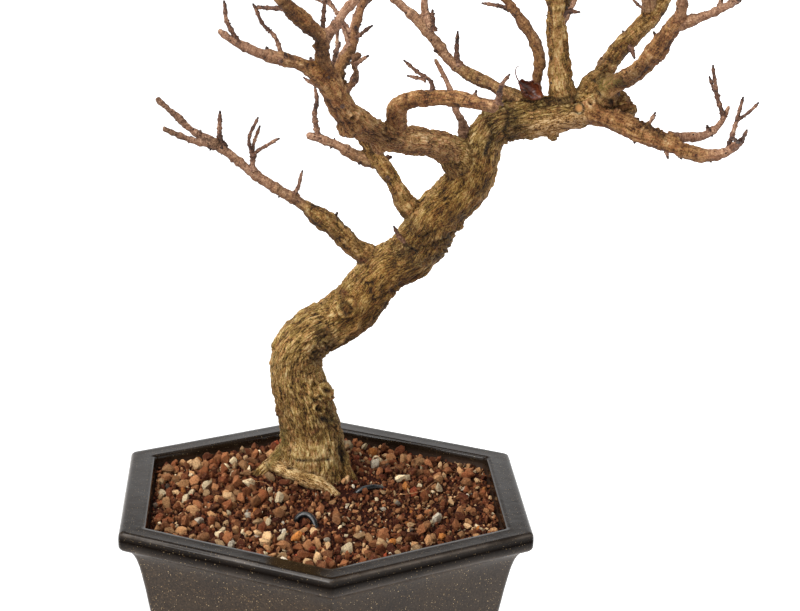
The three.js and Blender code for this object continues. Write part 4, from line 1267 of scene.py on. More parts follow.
@dataclass(frozen=True)
class GlazeFinish(Finish):
    """Brown-black glaze with fine tan specks, thinner and browner over the edges, with a painted sheen in
    the cove under the lip and a darker band on the lip's upright face that is partly a painted dark
    reflection.
    """

    name: str = "speckled_glaze"
    roughness: float = 0.3
    specular: float = 0.26
    specks: tuple[tuple[float, float, float, float], ...] = (
        (700.0, 0.06, 0.2, 0.36), (400.0, 0.03, 0.115, 0.45), (1100.0, 0.08, 0.26, 0.55),
    )
    speck_colours: Stops = ((0.1, "#62492f"), (0.55, "#96794f"), (0.9, "#d6ba8e"))

    def paint(self, sheet: Sheet) -> Inputs:
        """Gives what the glaze feeds its shader.

        Args:
            sheet: the material's nodes.

        Returns:
            The shader's inputs, by their names.
        """
        place = sheet.place()
        cloud = sheet.noise(place, 45, 4, 0.6)
        mottle = sheet.noise(place, 1000, 3, 0.65)
        body = sheet.ramp(cloud, ((0.3, "#251a10"), (0.55, "#2f2317"), (0.75, "#3a2d1f")))
        rim = sheet.ramp(cloud, ((0.3, "#140d08"), (0.7, "#20170f")))
        colour = sheet.blend(sheet.own("lip"), body, rim)
        bodied = sheet.times(sheet.own("lip"), -0.75, 1)
        colour = sheet.coats(
            colour,
            (sheet.times(sheet.remap(mottle, 0.47, 0.68, 0, 0.5), bodied), "#4a3d30"),
            (sheet.times(sheet.remap(mottle, 0.34, 0.47, 0.6, 0), bodied), "#140d08"),
            # Painted reflection, in part: the band darkens the lip's upright face, most just under its top
            # edge, standing in for a dark reflection there as well as darker pooled glaze.
            (sheet.times(sheet.own("band"), 0.85), "#070403"),
        )
        for scale, least, most, share in self.specks:
            cell = sheet.cells(place, scale)
            parts = sheet.add("ShaderNodeSeparateColor", {0: cell["Color"]}).outputs
            chosen = sheet.math("GREATER_THAN", parts[0], share)
            spot = sheet.math("LESS_THAN", cell["Distance"], sheet.times(parts[1], most - least, least))
            seen = sheet.times(sheet.times(spot, chosen), 0.82)
            faint = sheet.times(seen, sheet.remap(sheet.own("lip"), 0.3, 0.9, 1, 0.3))
            colour = sheet.blend(faint, colour, sheet.ramp(parts[2], self.speck_colours))
        # Lighter colour where the glaze thins over the lip's top outer edge, and a painted sheen in the
        # cove under the lip.
        rim_wear_and_cove_sheen = sheet.times(sheet.own("edge"), sheet.remap(cloud, 0.35, 0.65, 0.1, 0.5))
        colour = sheet.blend(rim_wear_and_cove_sheen, colour, "#7f766e")
        colour = sheet.blend(sheet.own("clay"), colour, "#443126")
        satin = sheet.times(sheet.own("lip"), -0.2, sheet.remap(cloud, 0.3, 0.7, 0.3, 0.4))
        ripple = sheet.times(mottle, 0.3, sheet.noise(place, 160, 2, 0.5))
        return {
            "Base Color": colour,
            "Roughness": sheet.times(sheet.own("clay"), 0.45, satin),
            "Specular IOR Level": sheet.times(sheet.own("band"), -0.95 * self.specular, self.specular),
            "Normal": sheet.bump(ripple, 0.12, 0.4),
        }


@dataclass(frozen=True)
class GritFinish(Finish):
    """Broken fired clay and pumice, each stone in one of a few colours."""

    name: str = "grit"
    roughness: float = 0.9
    specular: float = 0.18
    colours: Stops = (
        (0.0, "#4e2414"), (0.14, "#64331c"), (0.3, "#7e482a"), (0.45, "#915b39"), (0.58, "#a06d47"),
        (0.7, "#b28459"), (0.82, "#cca679"), (0.91, "#e6cfa6"), (0.955, "#bd7639"), (0.968, "#a64b2e"),
        (0.975, "#6a655c"), (0.984, "#e6d9c0"),
    )

    def paint(self, sheet: Sheet) -> Inputs:
        """Gives what the stones feed their shader.

        Args:
            sheet: the material's nodes.

        Returns:
            The shader's inputs, by their names.
        """
        place = sheet.place()
        pits = sheet.noise(place, 1300, 4, 0.7)
        veil = sheet.noise(place, 320, 2, 0.5)
        colour = sheet.ramp(sheet.own("tone"), self.colours, steps=True)
        shade = sheet.remap(sheet.own("shade"), 0, 1, 0.52, 1.36)
        shaded = sheet.get("ShaderNodeVectorMath", {0: colour, 3: shade}, operation="SCALE")
        colour = sheet.blend(sheet.remap(pits, 0.32, 0.54, 0.6, 0), shaded, "#432013")
        colour = sheet.blend(sheet.remap(veil, 0.48, 0.7, 0, 0.4), colour, "#9c683f")
        colour = sheet.blend(sheet.remap(pits, 0.56, 0.74, 0, 0.5), colour, "#d0a87c")
        return {"Base Color": colour, "Normal": sheet.bump(pits, 0.8)}


@dataclass(frozen=True)
class DryLeafFinish(Finish):
    """A dead leaf: dark red-brown skin with paler ribs and a shine."""

    name: str = "dead_leaf"
    roughness: float = 0.3
    specular: float = 0.45

    def paint(self, sheet: Sheet) -> Inputs:
        """Gives what the leaf feeds its shader.

        Args:
            sheet: the material's nodes.

        Returns:
            The shader's inputs, by their names.
        """
        place = sheet.place()
        cloud = sheet.noise(place, 260, 4, 0.6)
        fine = sheet.noise(place, 1400, 3, 0.6)
        dark = sheet.ramp(cloud, ((0.3, "#180605"), (0.5, "#320e0a"), (0.65, "#4d1a11"), (0.8, "#6d301d")))
        warm = sheet.ramp(cloud, ((0.3, "#33150c"), (0.5, "#5d2b18"), (0.65, "#824526"), (0.8, "#ad7043")))
        colour = sheet.blend(sheet.own("warm"), dark, warm)
        colour = sheet.blend(sheet.times(sheet.own("rib"), 0.6), colour, "#a8623a")
        colour = sheet.blend(sheet.remap(fine, 0.5, 0.8, 0, 0.3), colour, "#1c0805")
        return {"Base Color": colour, "Normal": sheet.bump(fine, 0.12)}


@dataclass(frozen=True)
class CloudyFinish(Finish):
    """A stuff whose colour follows one cloudy noise, and its roughness too where it has a gloss."""

    scale: float = 500.0
    detail: float = 2.0
    grain: float = 0.5
    colours: Stops = ()
    depth: float = 0.05
    squash: float = 1.0
    gloss: tuple[float, ...] = ()

    def paint(self, sheet: Sheet) -> Inputs:
        """Gives what the stuff feeds its shader.

        Args:
            sheet: the material's nodes.

        Returns:
            The shader's inputs, by their names.
        """
        place = sheet.stretch(sheet.place(), (1, 1, self.squash))
        cloud = sheet.noise(place, self.scale, self.detail, self.grain)
        colour = sheet.ramp(cloud, self.colours)
        inputs: Inputs = {"Base Color": colour, "Normal": sheet.bump(cloud, self.depth)}
        if self.gloss:
            inputs["Roughness"] = sheet.remap(cloud, 0.4, 0.7, *self.gloss)
        return inputs


CRUMB = CloudyFinish(
    "crumb", 0.95, 0.1, 700.0, 5.0, 0.75,
    ((0.35, "#140a06"), (0.5, "#331710"), (0.65, "#54281a"), (0.8, "#7d4a31")), 1.2,
)
WIRE_COATING = CloudyFinish(
    "coated_wire", 0.32, 0.55, 700.0, 3.0, 0.6, ((0.4, "#08090a"), (0.66, "#101214"), (0.85, "#34373a")),
    squash=2.5, gloss=(0.26, 0.5),
)
STRAW = CloudyFinish("straw", 0.7, 0.3, colours=((0.35, "#7a4b2c"), (0.65, "#c89a68")))
MOULDED_MESH = CloudyFinish(
    "moulded_mesh", 0.55, 0.4, 400.0, 4.0, 0.65, ((0.4, "#1a1b18"), (0.6, "#272822"), (0.8, "#4a3a2c")),
    0.08, gloss=(0.45, 0.8),
)


@dataclass(frozen=True)
class BackdropFinish(Finish):
    """The plain pale floor, and its glow beside the pot and far from it."""

    name: str = "pale_floor"
    roughness: float = 0.9
    specular: float = 0.1
    base: float = 0.5
    near_glow: float = 0.9
    far_glow: float = 0.25

    def paint(self, sheet: Sheet) -> Inputs:
        """Gives what the floor feeds its shader: it glows a little where lamps reach it less.

        Args:
            sheet: the material's nodes.

        Returns:
            The shader's inputs, by their names.
        """
        away = sheet.vector("DISTANCE", sheet.place(), tuple(SHIFT * (MM, MM, 0)))
        near = sheet.remap(away, 0.07, 0.108, 0.15, self.near_glow)
        parts = sheet.add("ShaderNodeSeparateXYZ", {0: sheet.place()}).outputs
        # Painted light: the floor glows more to the right and towards the back, where the lamps throw the
        # pot's shadow, so that the shadow is washed out.
        near = sheet.times(near, sheet.remap(parts["Y"], -0.05, 0.02, 0.7, 1))
        far = sheet.remap(away, 0.4, 1.6, 0, self.far_glow)
        return {
            "Base Color": (self.base, self.base, self.base, 1.0),
            "Emission Color": (1.0, 1.0, 1.0, 1.0),
            "Emission Strength": sheet.times(near, sheet.remap(parts["X"], -0.1, 0.1, 0.78, 1.45), far),
        }


def bark_recipe() -> Recipe:
    """Makes the tree that raises bark.

    Lengthwise ridges and broken plates follow each limb's own grain, deeper where it is thick, and
    the height of each point is kept for the material.

    Returns:
        The recipe.
    """
    recipe = Recipe("Bark relief", Depth=0.8 * MM, Ridge_Width=2.5, Ridge_Length=9.0, Seed=7.0)
    sheet, given = recipe.sheet, recipe.given
    grain = sheet.warp(sheet.named("grain", "FLOAT_VECTOR"), 0.1, 3)
    width = sheet.math("DIVIDE", 1, given("Ridge Width"))
    scale = sheet.combine(width, width, sheet.math("DIVIDE", 1, given("Ridge Length")))
    moved = sheet.combine(None, None, given("Seed"))
    place = sheet.vector("ADD", sheet.vector("MULTIPLY", grain, scale), moved)
    ridge = sheet.remap(sheet.noise(place, 1, 1), 0.3, 0.7, -1, 1)
    furrow = sheet.remap(sheet.cells(place, 1.25, "DISTANCE_TO_EDGE")["Distance"], 0, 0.22, 1, 0)
    ring = sheet.noise(sheet.stretch(grain, (0.09, 0.09, 0.42)), 1, 1)
    wrinkle = sheet.remap(ring, 0.35, 0.65, -1, 1)
    knobs = sheet.noise(sheet.stretch(grain, (0.22, 0.22, 0.2)), 1, 2)
    height = sheet.times(ridge, 0.5, sheet.times(furrow, -0.6))
    height = sheet.times(sheet.remap(knobs, 0.35, 0.7, -0.8, 1), 0.62, height)
    girth = sheet.named("girth")
    height = sheet.times(wrinkle, sheet.remap(girth, 3, 8, 0.6, 0.15), height)
    smooth = sheet.math("SUBTRACT", 1, sheet.times(sheet.named("bare"), 0.7))
    share = sheet.times(sheet.remap(girth, 0.4, 10, 0.15, 1), smooth)
    lift = sheet.times(sheet.times(height, share), given("Depth"))
    lift = sheet.times(sheet.named("mark"), MM, lift)
    return recipe.close(sheet.keep(sheet.push(given("Geometry"), lift), "relief", height))


def twig_recipe() -> Recipe:
    """Makes the tree that grows twigs: round wood along each line, and a bud on each loose point.

    Returns:
        The recipe.
    """
    recipe = Recipe("Twigs and buds", Sides=9, Bud_Shape=1.7)
    sheet, given = recipe.sheet, recipe.given
    line = sheet.get("GeometryNodeMeshToCurve", {"Mesh": given("Geometry")})
    ring = sheet.get("GeometryNodeCurvePrimitiveCircle", {"Resolution": given("Sides"), "Radius": 1})
    inputs = {"Curve": line, "Profile Curve": ring, "Scale": sheet.named("girth"), "Fill Caps": True}
    wood = sheet.get("GeometryNodeCurveToMesh", inputs)
    size = sheet.named("bud_size")
    chosen = sheet.get("FunctionNodeCompare", {0: size, 1: 0}, operation="GREATER_THAN")
    spots = sheet.get("GeometryNodeMeshToPoints", {"Mesh": given("Geometry"), "Selection": chosen})
    ball = sheet.get("GeometryNodeMeshIcoSphere", {"Radius": 1, "Subdivisions": 1})
    heading = {"Vector": sheet.named("heading", "FLOAT_VECTOR")}
    turn = sheet.get("FunctionNodeAlignRotationToVector", heading, axis="Z")
    scale = sheet.combine(size, size, sheet.times(size, given("Bud Shape")))
    inputs = {"Points": spots, "Instance": ball, "Rotation": turn, "Scale": scale}
    buds = sheet.keep(sheet.get("GeometryNodeInstanceOnPoints", inputs), "bud", 0.8, "INSTANCE")
    both = sheet.add("GeometryNodeJoinGeometry", {0: buds})
    sheet.feed(both.inputs[0], wood)
    return recipe.close(sheet.get("GeometryNodeSetShadeSmooth", {"Geometry": both.outputs[0]}))


def grit_recipe() -> Recipe:
    """Makes the tree that strews stones over the soil, clear of the wood and the wire.

    Returns:
        The recipe.
    """
    recipe = Recipe(
        "Strewn grit", Stones="Collection", Wood="Object", Wire="Object", Density=1e5, Apart=2 * MM,
        Smallest=2 * MM, Largest=5 * MM, Skew=2.0, Lift=0.3, Redness=1.0, Clearance=0.5 * MM, Seed=3,
    )
    sheet, given = recipe.sheet, recipe.given

    def chance(offset: int) -> Socket:
        """Adds a random number between 0 and 1 for each stone."""
        seed = sheet.math("ADD", given("Seed"), float(offset))
        return sheet.add("FunctionNodeRandomValue", {"Seed": seed}, data_type="FLOAT").outputs[1]

    inputs = {
        "Mesh": given("Geometry"), "Distance Min": given("Apart"), "Density Max": given("Density"),
        "Density Factor": sheet.named("coarse"), "Seed": given("Seed"),
    }
    points = sheet.get("GeometryNodeDistributePointsOnFaces", inputs, distribute_method="POISSON")
    spread = sheet.math("SUBTRACT", given("Largest"), given("Smallest"))
    size = sheet.times(spread, sheet.math("POWER", chance(11), given("Skew")), given("Smallest"))
    need = sheet.times(size, 0.3, given("Clearance"))
    for label in ("Wood", "Wire"):
        target = sheet.add("GeometryNodeObjectInfo", {"Object": given(label)}).outputs["Geometry"]
        touch = sheet.add("GeometryNodeProximity", {"Geometry": target}, target_element="FACES")
        inputs = {0: touch.outputs["Distance"], 1: need}
        near = sheet.get("FunctionNodeCompare", inputs, operation="LESS_THAN")
        points = sheet.get("GeometryNodeDeleteGeometry", {"Geometry": points, "Selection": near})
    rise = sheet.times(size, sheet.times(chance(23), 0.35, given("Lift")))
    up = sheet.combine(None, None, rise)
    points = sheet.get("GeometryNodeSetPosition", {"Geometry": points, "Offset": up})
    inputs = {"Collection": given("Stones"), "Separate Children": True}
    kinds = sheet.get("GeometryNodeCollectionInfo", inputs)
    inputs = {0: (0.0, 0.0, 0.0), 1: (6.28, 6.28, 6.28), "Seed": given("Seed")}
    turn = sheet.get("FunctionNodeRandomValue", inputs, data_type="FLOAT_VECTOR")
    pick = sheet.add("FunctionNodeRandomValue", {4: 0, 5: 1000, "Seed": given("Seed")}, data_type="INT")
    inputs = {
        "Points": points, "Instance": kinds, "Pick Instance": True, "Instance Index": pick.outputs[2],
        "Rotation": turn, "Scale": size,
    }
    stones = sheet.get("GeometryNodeInstanceOnPoints", inputs)
    stones = sheet.keep(stones, "tone", sheet.math("POWER", chance(37), given("Redness")), "INSTANCE")
    return recipe.close(sheet.keep(stones, "shade", chance(41), "INSTANCE"))


def hand_recipe() -> Recipe:
    """Makes the tree that gives fired clay the slight unevenness of hand work.

    Returns:
        The recipe.
    """
    recipe = Recipe("Hand unevenness", Depth=0.3 * MM, Scale=26.0)
    sheet, given = recipe.sheet, recipe.given
    cloud = sheet.noise(sheet.get("GeometryNodeInputPosition"), given("Scale"), 1)
    lift = sheet.times(sheet.math("SUBTRACT", cloud, 0.5), given("Depth"))
    return recipe.close(sheet.push(given("Geometry"), lift))


@dataclass
class Pot:
    """The glazed hexagonal pot."""

    corner_radius: float = 3.6
    corner_points: int = 9
    side_points: int = 10
    sharp_angle: float = 60.0
    outside: Profile = (
        (FOOT_HEIGHT, BASE_APOTHEM - 1.0), (FOOT_HEIGHT + 0.3, BASE_APOTHEM - 0.3),
        (FOOT_HEIGHT + 1.2, BASE_APOTHEM), (FOOT_HEIGHT + 3, BASE_APOTHEM + 0.5), (13, 81.6), (22, 82.8),
        (31, 84.2), (40, 86), (47, 87.3), (54, 88.8), (59, 90.0), (63, 91.3), (65.6, 92.6), (67.2, 93.8),
        (68.3, 95.0), (68.9, 96.2), (69.3, 97.4), (69.8, 98.4), (70.5, 99.1), (71.4, 99.5), (72.6, 99.6),
        (75, 99.6), (76.6, 99.55), (77.6, 99.4), (78.3, 99.0), (78.8, 98.4), (79, 97.6), (78.95, 96.0),
    )
    inside: Profile = (
        (FLOOR_TOP, 60.0), (FLOOR_TOP, 69.0), (FLOOR_TOP + 1, 72.6), (FLOOR_TOP + 4, 75.5), (24, 77.3),
        (40, 79.9), (56, 82.9), (66, 84.9), (73, 86.1), (76.4, 86.6), (78, 86.75), (78.7, 87.1),
        (79, 87.8), (78.95, 89.4),
    )

    def ring(self, height: float, apothem: float) -> Array:
        """Makes one hexagonal ring.

        Args:
            height: its height.
            apothem: from its middle to the middle of a side.

        Returns:
            Its points, anticlockwise from above.
        """
        radius = min(self.corner_radius, 0.5 * apothem)
        middle = (apothem - radius) / math.cos(math.pi / CORNERS)
        arcs = []
        for corner in range(CORNERS):
            angle = math.pi / 2 + corner * 2 * math.pi / CORNERS
            turn = angle + (np.linspace(0, 1, self.corner_points) - 0.5) * 2 * math.pi / CORNERS
            x = middle * math.cos(angle) + radius * np.cos(turn)
            y = middle * math.sin(angle) + radius * np.sin(turn)
            arcs.append(np.stack([x, y, np.full_like(x, height)], 1))
        points = []
        for corner, arc in enumerate(arcs):
            following = arcs[(corner + 1) % CORNERS][0]
            shares = np.linspace(0, 1, self.side_points + 2)[1:-1, None]
            points += [arc, arc[-1] * (1 - shares) + following * shares]
        return np.vstack(points)

    def loft(self, name: str, profile: Profile) -> Piece:
        """Makes a closed hexagonal solid.

        Args:
            name: its name.
            profile: the heights and apothems of its rings.

        Returns:
            The solid.
        """
        rings = [self.ring(height, apothem) for height, apothem in profile]
        return solid(name, np.vstack(rings), tube(len(rings), len(rings[0])))

    def cut(self, piece: Piece, tool: Piece, operation: str) -> None:
        """Joins or cuts a piece with a tool, which is then removed.

        Args:
            piece: the piece.
            tool: the tool.
            operation: how they are put together.
        """
        modifier = piece.modifiers.new("cut", "BOOLEAN")
        modifier.operation = operation
        modifier.solver = "EXACT"
        modifier.object = tool
        settle(piece)
        bpy.data.objects.remove(tool)

    def feet(self) -> Piece:
        """Makes the six corner feet.

        Returns:
            The feet as one solid.
        """
        foot = self.loft(
            "feet",
            ((0.0, BASE_APOTHEM - 1.9), (0.4, BASE_APOTHEM - 1.3), (FOOT_HEIGHT + 1.0, BASE_APOTHEM - 0.3)),
        )
        inner = BASE_APOTHEM - FOOT_WIDTH
        self.cut(foot, self.loft("hollow", ((-1.0, inner), (FOOT_HEIGHT + 2, inner))), "DIFFERENCE")
        for k in range(CORNERS // 2):
            self.cut(foot, self.bar(k * 2 * math.pi / CORNERS), "DIFFERENCE")
        return foot

    def bar(self, turn: float) -> Piece:
        """Makes the bar that cuts the gap between feet.

        Args:
            turn: its angle about the pot's middle.

        Returns:
            The bar.
        """
        corners = np.array([(x, y, z) for z in (-1, FOOT_HEIGHT) for y in (-1, 1) for x in (-1, 1)], float)
        corners[:, 0] *= 1.5 * BASE_APOTHEM
        corners[:, 1] *= FOOT_GAP / 2
        turned = corners @ np.array(Matrix.Rotation(turn, 3, "Z").transposed())
        faces = [(0, 2, 3, 1), (4, 5, 7, 6), (0, 1, 5, 4), (2, 6, 7, 3), (0, 4, 6, 2), (1, 3, 7, 5)]
        return solid("bar", turned, faces)

    def holes(self) -> Piece:
        """Makes the cylinders that cut the drain hole and the wire holes.

        Returns:
            The cylinders as one solid.
        """
        shape = Shape()
        wire_holes = [(*wire_hole(k), WIRE_HOLE_RADIUS, 24) for k in range(CORNERS)]
        for x, y, radius, sides in [(0.0, 0.0, DRAIN_RADIUS, 48), *wire_holes]:
            angle = spokes(sides)
            circle = np.stack([x + radius * np.cos(angle), y + radius * np.sin(angle)], 1)
            ends = [np.column_stack([circle, np.full(sides, z)]) for z in (0.0, FLOOR_TOP + 1)]
            shape.add(np.vstack(ends), tube(2, sides))
        return shape.build("holes")

    def dress(self, piece: Piece) -> None:
        """Keeps where the lip, its upright band (partly a painted dark reflection), the thin-glazed edges
        with a painted sheen in the cove, and the bare clay lie.

        Args:
            piece: the pot.
        """
        x, y, z = places_of(piece.data).T
        apothem = apothem_of(x, y)
        lip = smooth_step(z, LIP_UNDER - 1.0, LIP_UNDER + 3.0)
        edge = bell(apothem, LIP_APOTHEM - 0.7, 0.5) * smooth_step(z, POT_HEIGHT - 2.2, POT_HEIGHT - 0.4)
        foot = 1 - smooth_step(z, 0.4, 1.6)
        heights, apothems = np.array(self.inside).T
        inner = np.interp(z, heights, apothems) + 1.0
        within = (apothem < inner) & (z < POT_HEIGHT - 4) & (z > FLOOR_TOP - 0.5)
        face = smooth_step(apothem, LIP_APOTHEM - 1.0, LIP_APOTHEM - 0.4) * (z > LIP_UNDER)
        # Painted reflection, in part: band marks the lip's upright face, darkest just under its top edge.
        store(piece.data, "band", face * np.maximum(0.15, bell(z, POT_HEIGHT - 3.9, 2.2)))
        # Painted sheen: the cove under the lip is lightened too, where it would catch light bounced up from
        # the floor.
        edge = np.maximum(edge, 0.32 * bell(z, LIP_UNDER + 0.4, 1.5) * (apothem > 90))
        store(piece.data, "lip", lip)
        store(piece.data, "edge", edge)
        store(piece.data, "clay", np.maximum(foot, 0.6 * within))

    def build(self) -> None:
        """Makes the whole pot."""
        piece = self.loft("glazed_pot", [*self.outside, *reversed(self.inside)])
        self.cut(piece, self.feet(), "UNION")
        self.cut(piece, self.holes(), "DIFFERENCE")
        self.dress(piece)
        hand_recipe().run(piece, Material=GlazeFinish().build())
        piece.data.shade_smooth()
        mark_sharp(piece.data, self.sharp_angle)
        seat(piece, Slot.POT)
        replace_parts(piece, "pot")


def wire_route() -> Array:
    """Gives the tie wire's route, repeated from the part.

    Returns:
        Its points.
    """
    (rx, ry), (ex, ey) = wire_hole(5), wire_hole(3)
    under = FOOT_HEIGHT - WIRE_RADIUS - 0.5
    return np.array([
        (rx - 22, ry - 38, under), (rx - 2, ry - 3.5, under), (rx - 0.4, ry - 0.7, under + 0.9),
        (rx, ry, under + 3), (rx, ry, 66), (32, 18, 71.6), (28.5, 14, 75.2), (23, 10, 76.8), (18, 9, 75.4),
        (15.5, 9, 72), (14, 6.5, 66), (10, 0, 61), (3, -9, 58), (-6, -19, 60), (-12, -25, 66),
        (-14.4, -27, 70), (-14, -27.4, 74.4), (-11.6, -27.4, 76.8), (-8.2, -28.4, 76.8),
        (-5.8, -30.6, 74.6), (-4.4, -33.6, 71.2), (ex, ey, 68), (ex, ey, under + 3),
        (ex + 0.4, ey + 0.7, under + 0.9), (ex + 2, ey + 3.5, under), (ex + 8, ey + 14, under),
    ])


@dataclass
class TieWire:
    """The dark wire that holds the root ball down."""

    radius: float = WIRE_RADIUS + WIRE_COAT
    sides: int = 16

    def build(self) -> None:
        """Makes the wire."""
        line = LimbLine.of([(*point, self.radius) for point in wire_route()], 1.0)
        reach = np.full((len(line.point), self.sides), self.radius)
        piece = solid("bent_wire", *sweep(line, reach))
        piece.data.shade_smooth()
        seat(piece, Slot.WIRE, WIRE_COATING.build())
        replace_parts(piece, "tie_wire")


@dataclass
class Soil:
    """The grit: a dark crumb bed with stones of three sizes strewn on it."""

    spacing: float = 1.35
    seed: int = 51
    kinds: int = 14
    bed_drop: float = 1.1
    bed_inset: float = 1.3
    bed_roughness: float = 0.42
    foot_share: float = 0.885
    foot_rise: float = 1.8
    sharp_angle: float = 34.0

    def height(self, x: Array, y: Array) -> Array:
        """Gives the bed's height, highest round the trunk."""
        away = np.hypot(x - MOUND_MIDDLE[0], y - MOUND_MIDDLE[1])
        return SOIL_EDGE - self.bed_drop + SOIL_MOUND * np.exp(-((away / MOUND_SPREAD) ** 2))

    def surface(self, reach: float) -> tuple[Array, Faces, int]:
        """Makes the bed's top as a hexagonal grid.

        Args:
            reach: the grid's own apothem.

        Returns:
            Its points, its faces and the number of points on its rim, which come last.
        """
        pot = Pot(corner_points=2, side_points=0, corner_radius=0.01)
        rings = max(4, round(reach / self.spacing))
        corners = pot.ring(0.0, reach)[::2]
        points: list[Array] = [np.zeros((1, 3))]
        starts = [0, 1]
        for r in range(1, rings + 1):
            share = r / rings
            for k in range(CORNERS):
                a, b = corners[k] * share, corners[(k + 1) % CORNERS] * share
                steps = np.arange(r)[:, None] / r
                points.append(a * (1 - steps) + b * steps)
            starts.append(starts[-1] + CORNERS * r)
        faces: Faces = []
        for r in range(1, rings + 1):
            outer, inner = starts[r], starts[r - 1]
            count, before = CORNERS * r, max(1, CORNERS * (r - 1))
            for k in range(CORNERS):
                for j in range(r):
                    a = outer + k * r + j
                    b = outer + (k * r + j + 1) % count
                    c = inner + (k * (r - 1) + j) % before
                    faces.append((a, b, c))
                    if j < r - 1:
                        faces.append((b, inner + (k * (r - 1) + j + 1) % before, c))
        return np.vstack(points), faces, CORNERS * rings

    def bed(self) -> Piece:
        """Makes the closed bed of crumb under the stones.

        Returns:
            The bed.
        """
        rng = np.random.default_rng(self.seed)
        reach = LIP_APOTHEM - LIP_WIDTH - self.bed_inset
        points, faces, rim = self.surface(reach)
        x, y = points[:, 0], points[:, 1]
        points[:, 2] = self.height(x, y) + rng.normal(0, self.bed_roughness, len(points))
        edge = np.arange(len(points) - rim, len(points))
        low = points[edge] * (self.foot_share, self.foot_share, 0) + (0, 0, FLOOR_TOP + self.foot_rise)
        count = len(points)
        for k in range(rim):
            after = (k + 1) % rim
            faces.append((int(edge[after]), int(edge[k]), count + k, count + after))
        faces.append(tuple(range(count + rim - 1, count - 1, -1)))
        piece = solid("grit_bed", np.vstack([points, low]), faces)
        piece.data.shade_smooth()
        seat(piece, Slot.SOIL, CRUMB.build())
        return piece

    def stones(self, corners: int, count: int, blunt: float) -> bpy.types.Collection:
        """Makes a few stones, each about one unit across.

        Args:
            corners: how many points each is hung on.
            count: how many stones.
            blunt: how round they are, from 0 to 1.

        Returns:
            A collection that isn't in the scene.
        """
        rng = np.random.default_rng(self.seed + corners)
        group = bpy.data.collections.new("stones")
        for number in range(count):
            way = unit(rng.normal(size=(corners, 3))) * (rng.uniform(blunt, 1.0, (corners, 1)) * 0.5)
            way *= (1.0, rng.uniform(0.6, 0.85), rng.uniform(0.48, 0.7))
            made = bmesh.new()
            for point in way:
                made.verts.new(point)
            hull = bmesh.ops.convex_hull(made, input=made.verts)
            bmesh.ops.delete(made, geom=hull["geom_interior"], context="VERTS")
            bmesh.ops.recalc_face_normals(made, faces=made.faces)
            mesh = bpy.data.meshes.new(f"stone_{number}")
            made.to_mesh(mesh)
            made.free()
            mesh.shade_smooth()
            mark_sharp(mesh, self.sharp_angle)
            group.objects.link(bpy.data.objects.new(mesh.name, mesh))
        return group

    def patch(self, name: str, inset: float, weight: Callable[[Array, Array], Array]) -> Piece:
        """Makes the open surface that stones are strewn on.

        Args:
            name: the piece's name.
            inset: how far it stays from the pot's wall.
            weight: the share of stones at a place.

        Returns:
            The patch.
        """
        points, faces, _ = self.surface(LIP_APOTHEM - LIP_WIDTH - inset)
        x, y = points[:, 0], points[:, 1]
        points[:, 2] = self.height(x, y)
        return solid(name, points, faces, coarse=np.clip(weight(x, y), 0, 1))

    def toward_rim(self, x: Array, y: Array) -> Array:
        """Gives the share of coarse stones: most near the rim, few to the right of the trunk.

        Args:
            x: places from left to right.
            y: places from front to back.

        Returns:
            The share at each place.
        """
        rim = smooth_step(apothem_of(x, y), 18, 74)
        fine = bell(np.hypot(x - 30, y + 2), 0, 34)
        return 0.4 + 0.6 * rim - 0.42 * fine - 0.004 * x

    def everywhere(self, x: Array, y: Array) -> Array:
        """Small stones lie everywhere."""
        return np.ones(len(x)) * (0.9 + 0.1 * np.sign(y))

    def build(self) -> None:
        """Makes the bed and strews the stones."""
        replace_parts(self.bed(), "soil")
        recipe = grit_recipe()
        wood, wire = frame["nodes"]["tree"], frame["nodes"]["tie_wire"]
        shared = {"Wood": wood, "Wire": wire, "Material": GritFinish().build()}
        sizes = (
            (1.5 * MM, 1.7 * MM, 2.9 * MM, dict(Density=5e5, Lift=0.1, Redness=2.3, Seed=3)),
            (2.5 * MM, 3.0 * MM, 5.2 * MM, dict(Density=2e5, Lift=0.08, Redness=1.35, Seed=5)),
            (4.3 * MM, 5.2 * MM, 9.4 * MM, dict(Density=9e4, Lift=0.12, Skew=1.5, Redness=0.85, Seed=8)),
        )
        layers = (
            ("grit_crumbs", 1.2, self.everywhere, self.stones(10, 8, 0.8)),
            ("grit_small", 2.1, self.everywhere, self.stones(15, self.kinds, 0.72)),
            ("grit_large", 3.4, self.toward_rim, self.stones(22, self.kinds, 0.7)),
        )
        for (name, inset, weight, stones), (apart, least, most, inputs) in zip(layers, sizes):
            piece = self.patch(name, inset, weight)
            spread = {"Stones": stones, "Apart": apart, "Smallest": least, "Largest": most}
            recipe.run(piece, **spread, **shared, **inputs)
            seat(piece, Slot.SOIL)
            for stone in list(stones.objects):
                bpy.data.objects.remove(stone)
            bpy.data.collections.remove(stones)


@dataclass
class WoodGroup:
    """Limbs that are fused into one piece, and its bark."""

    name: str
    limbs: tuple[str, ...]
    voxel: float
    bark: BarkFinish = BarkFinish()
    knots: Route = ()


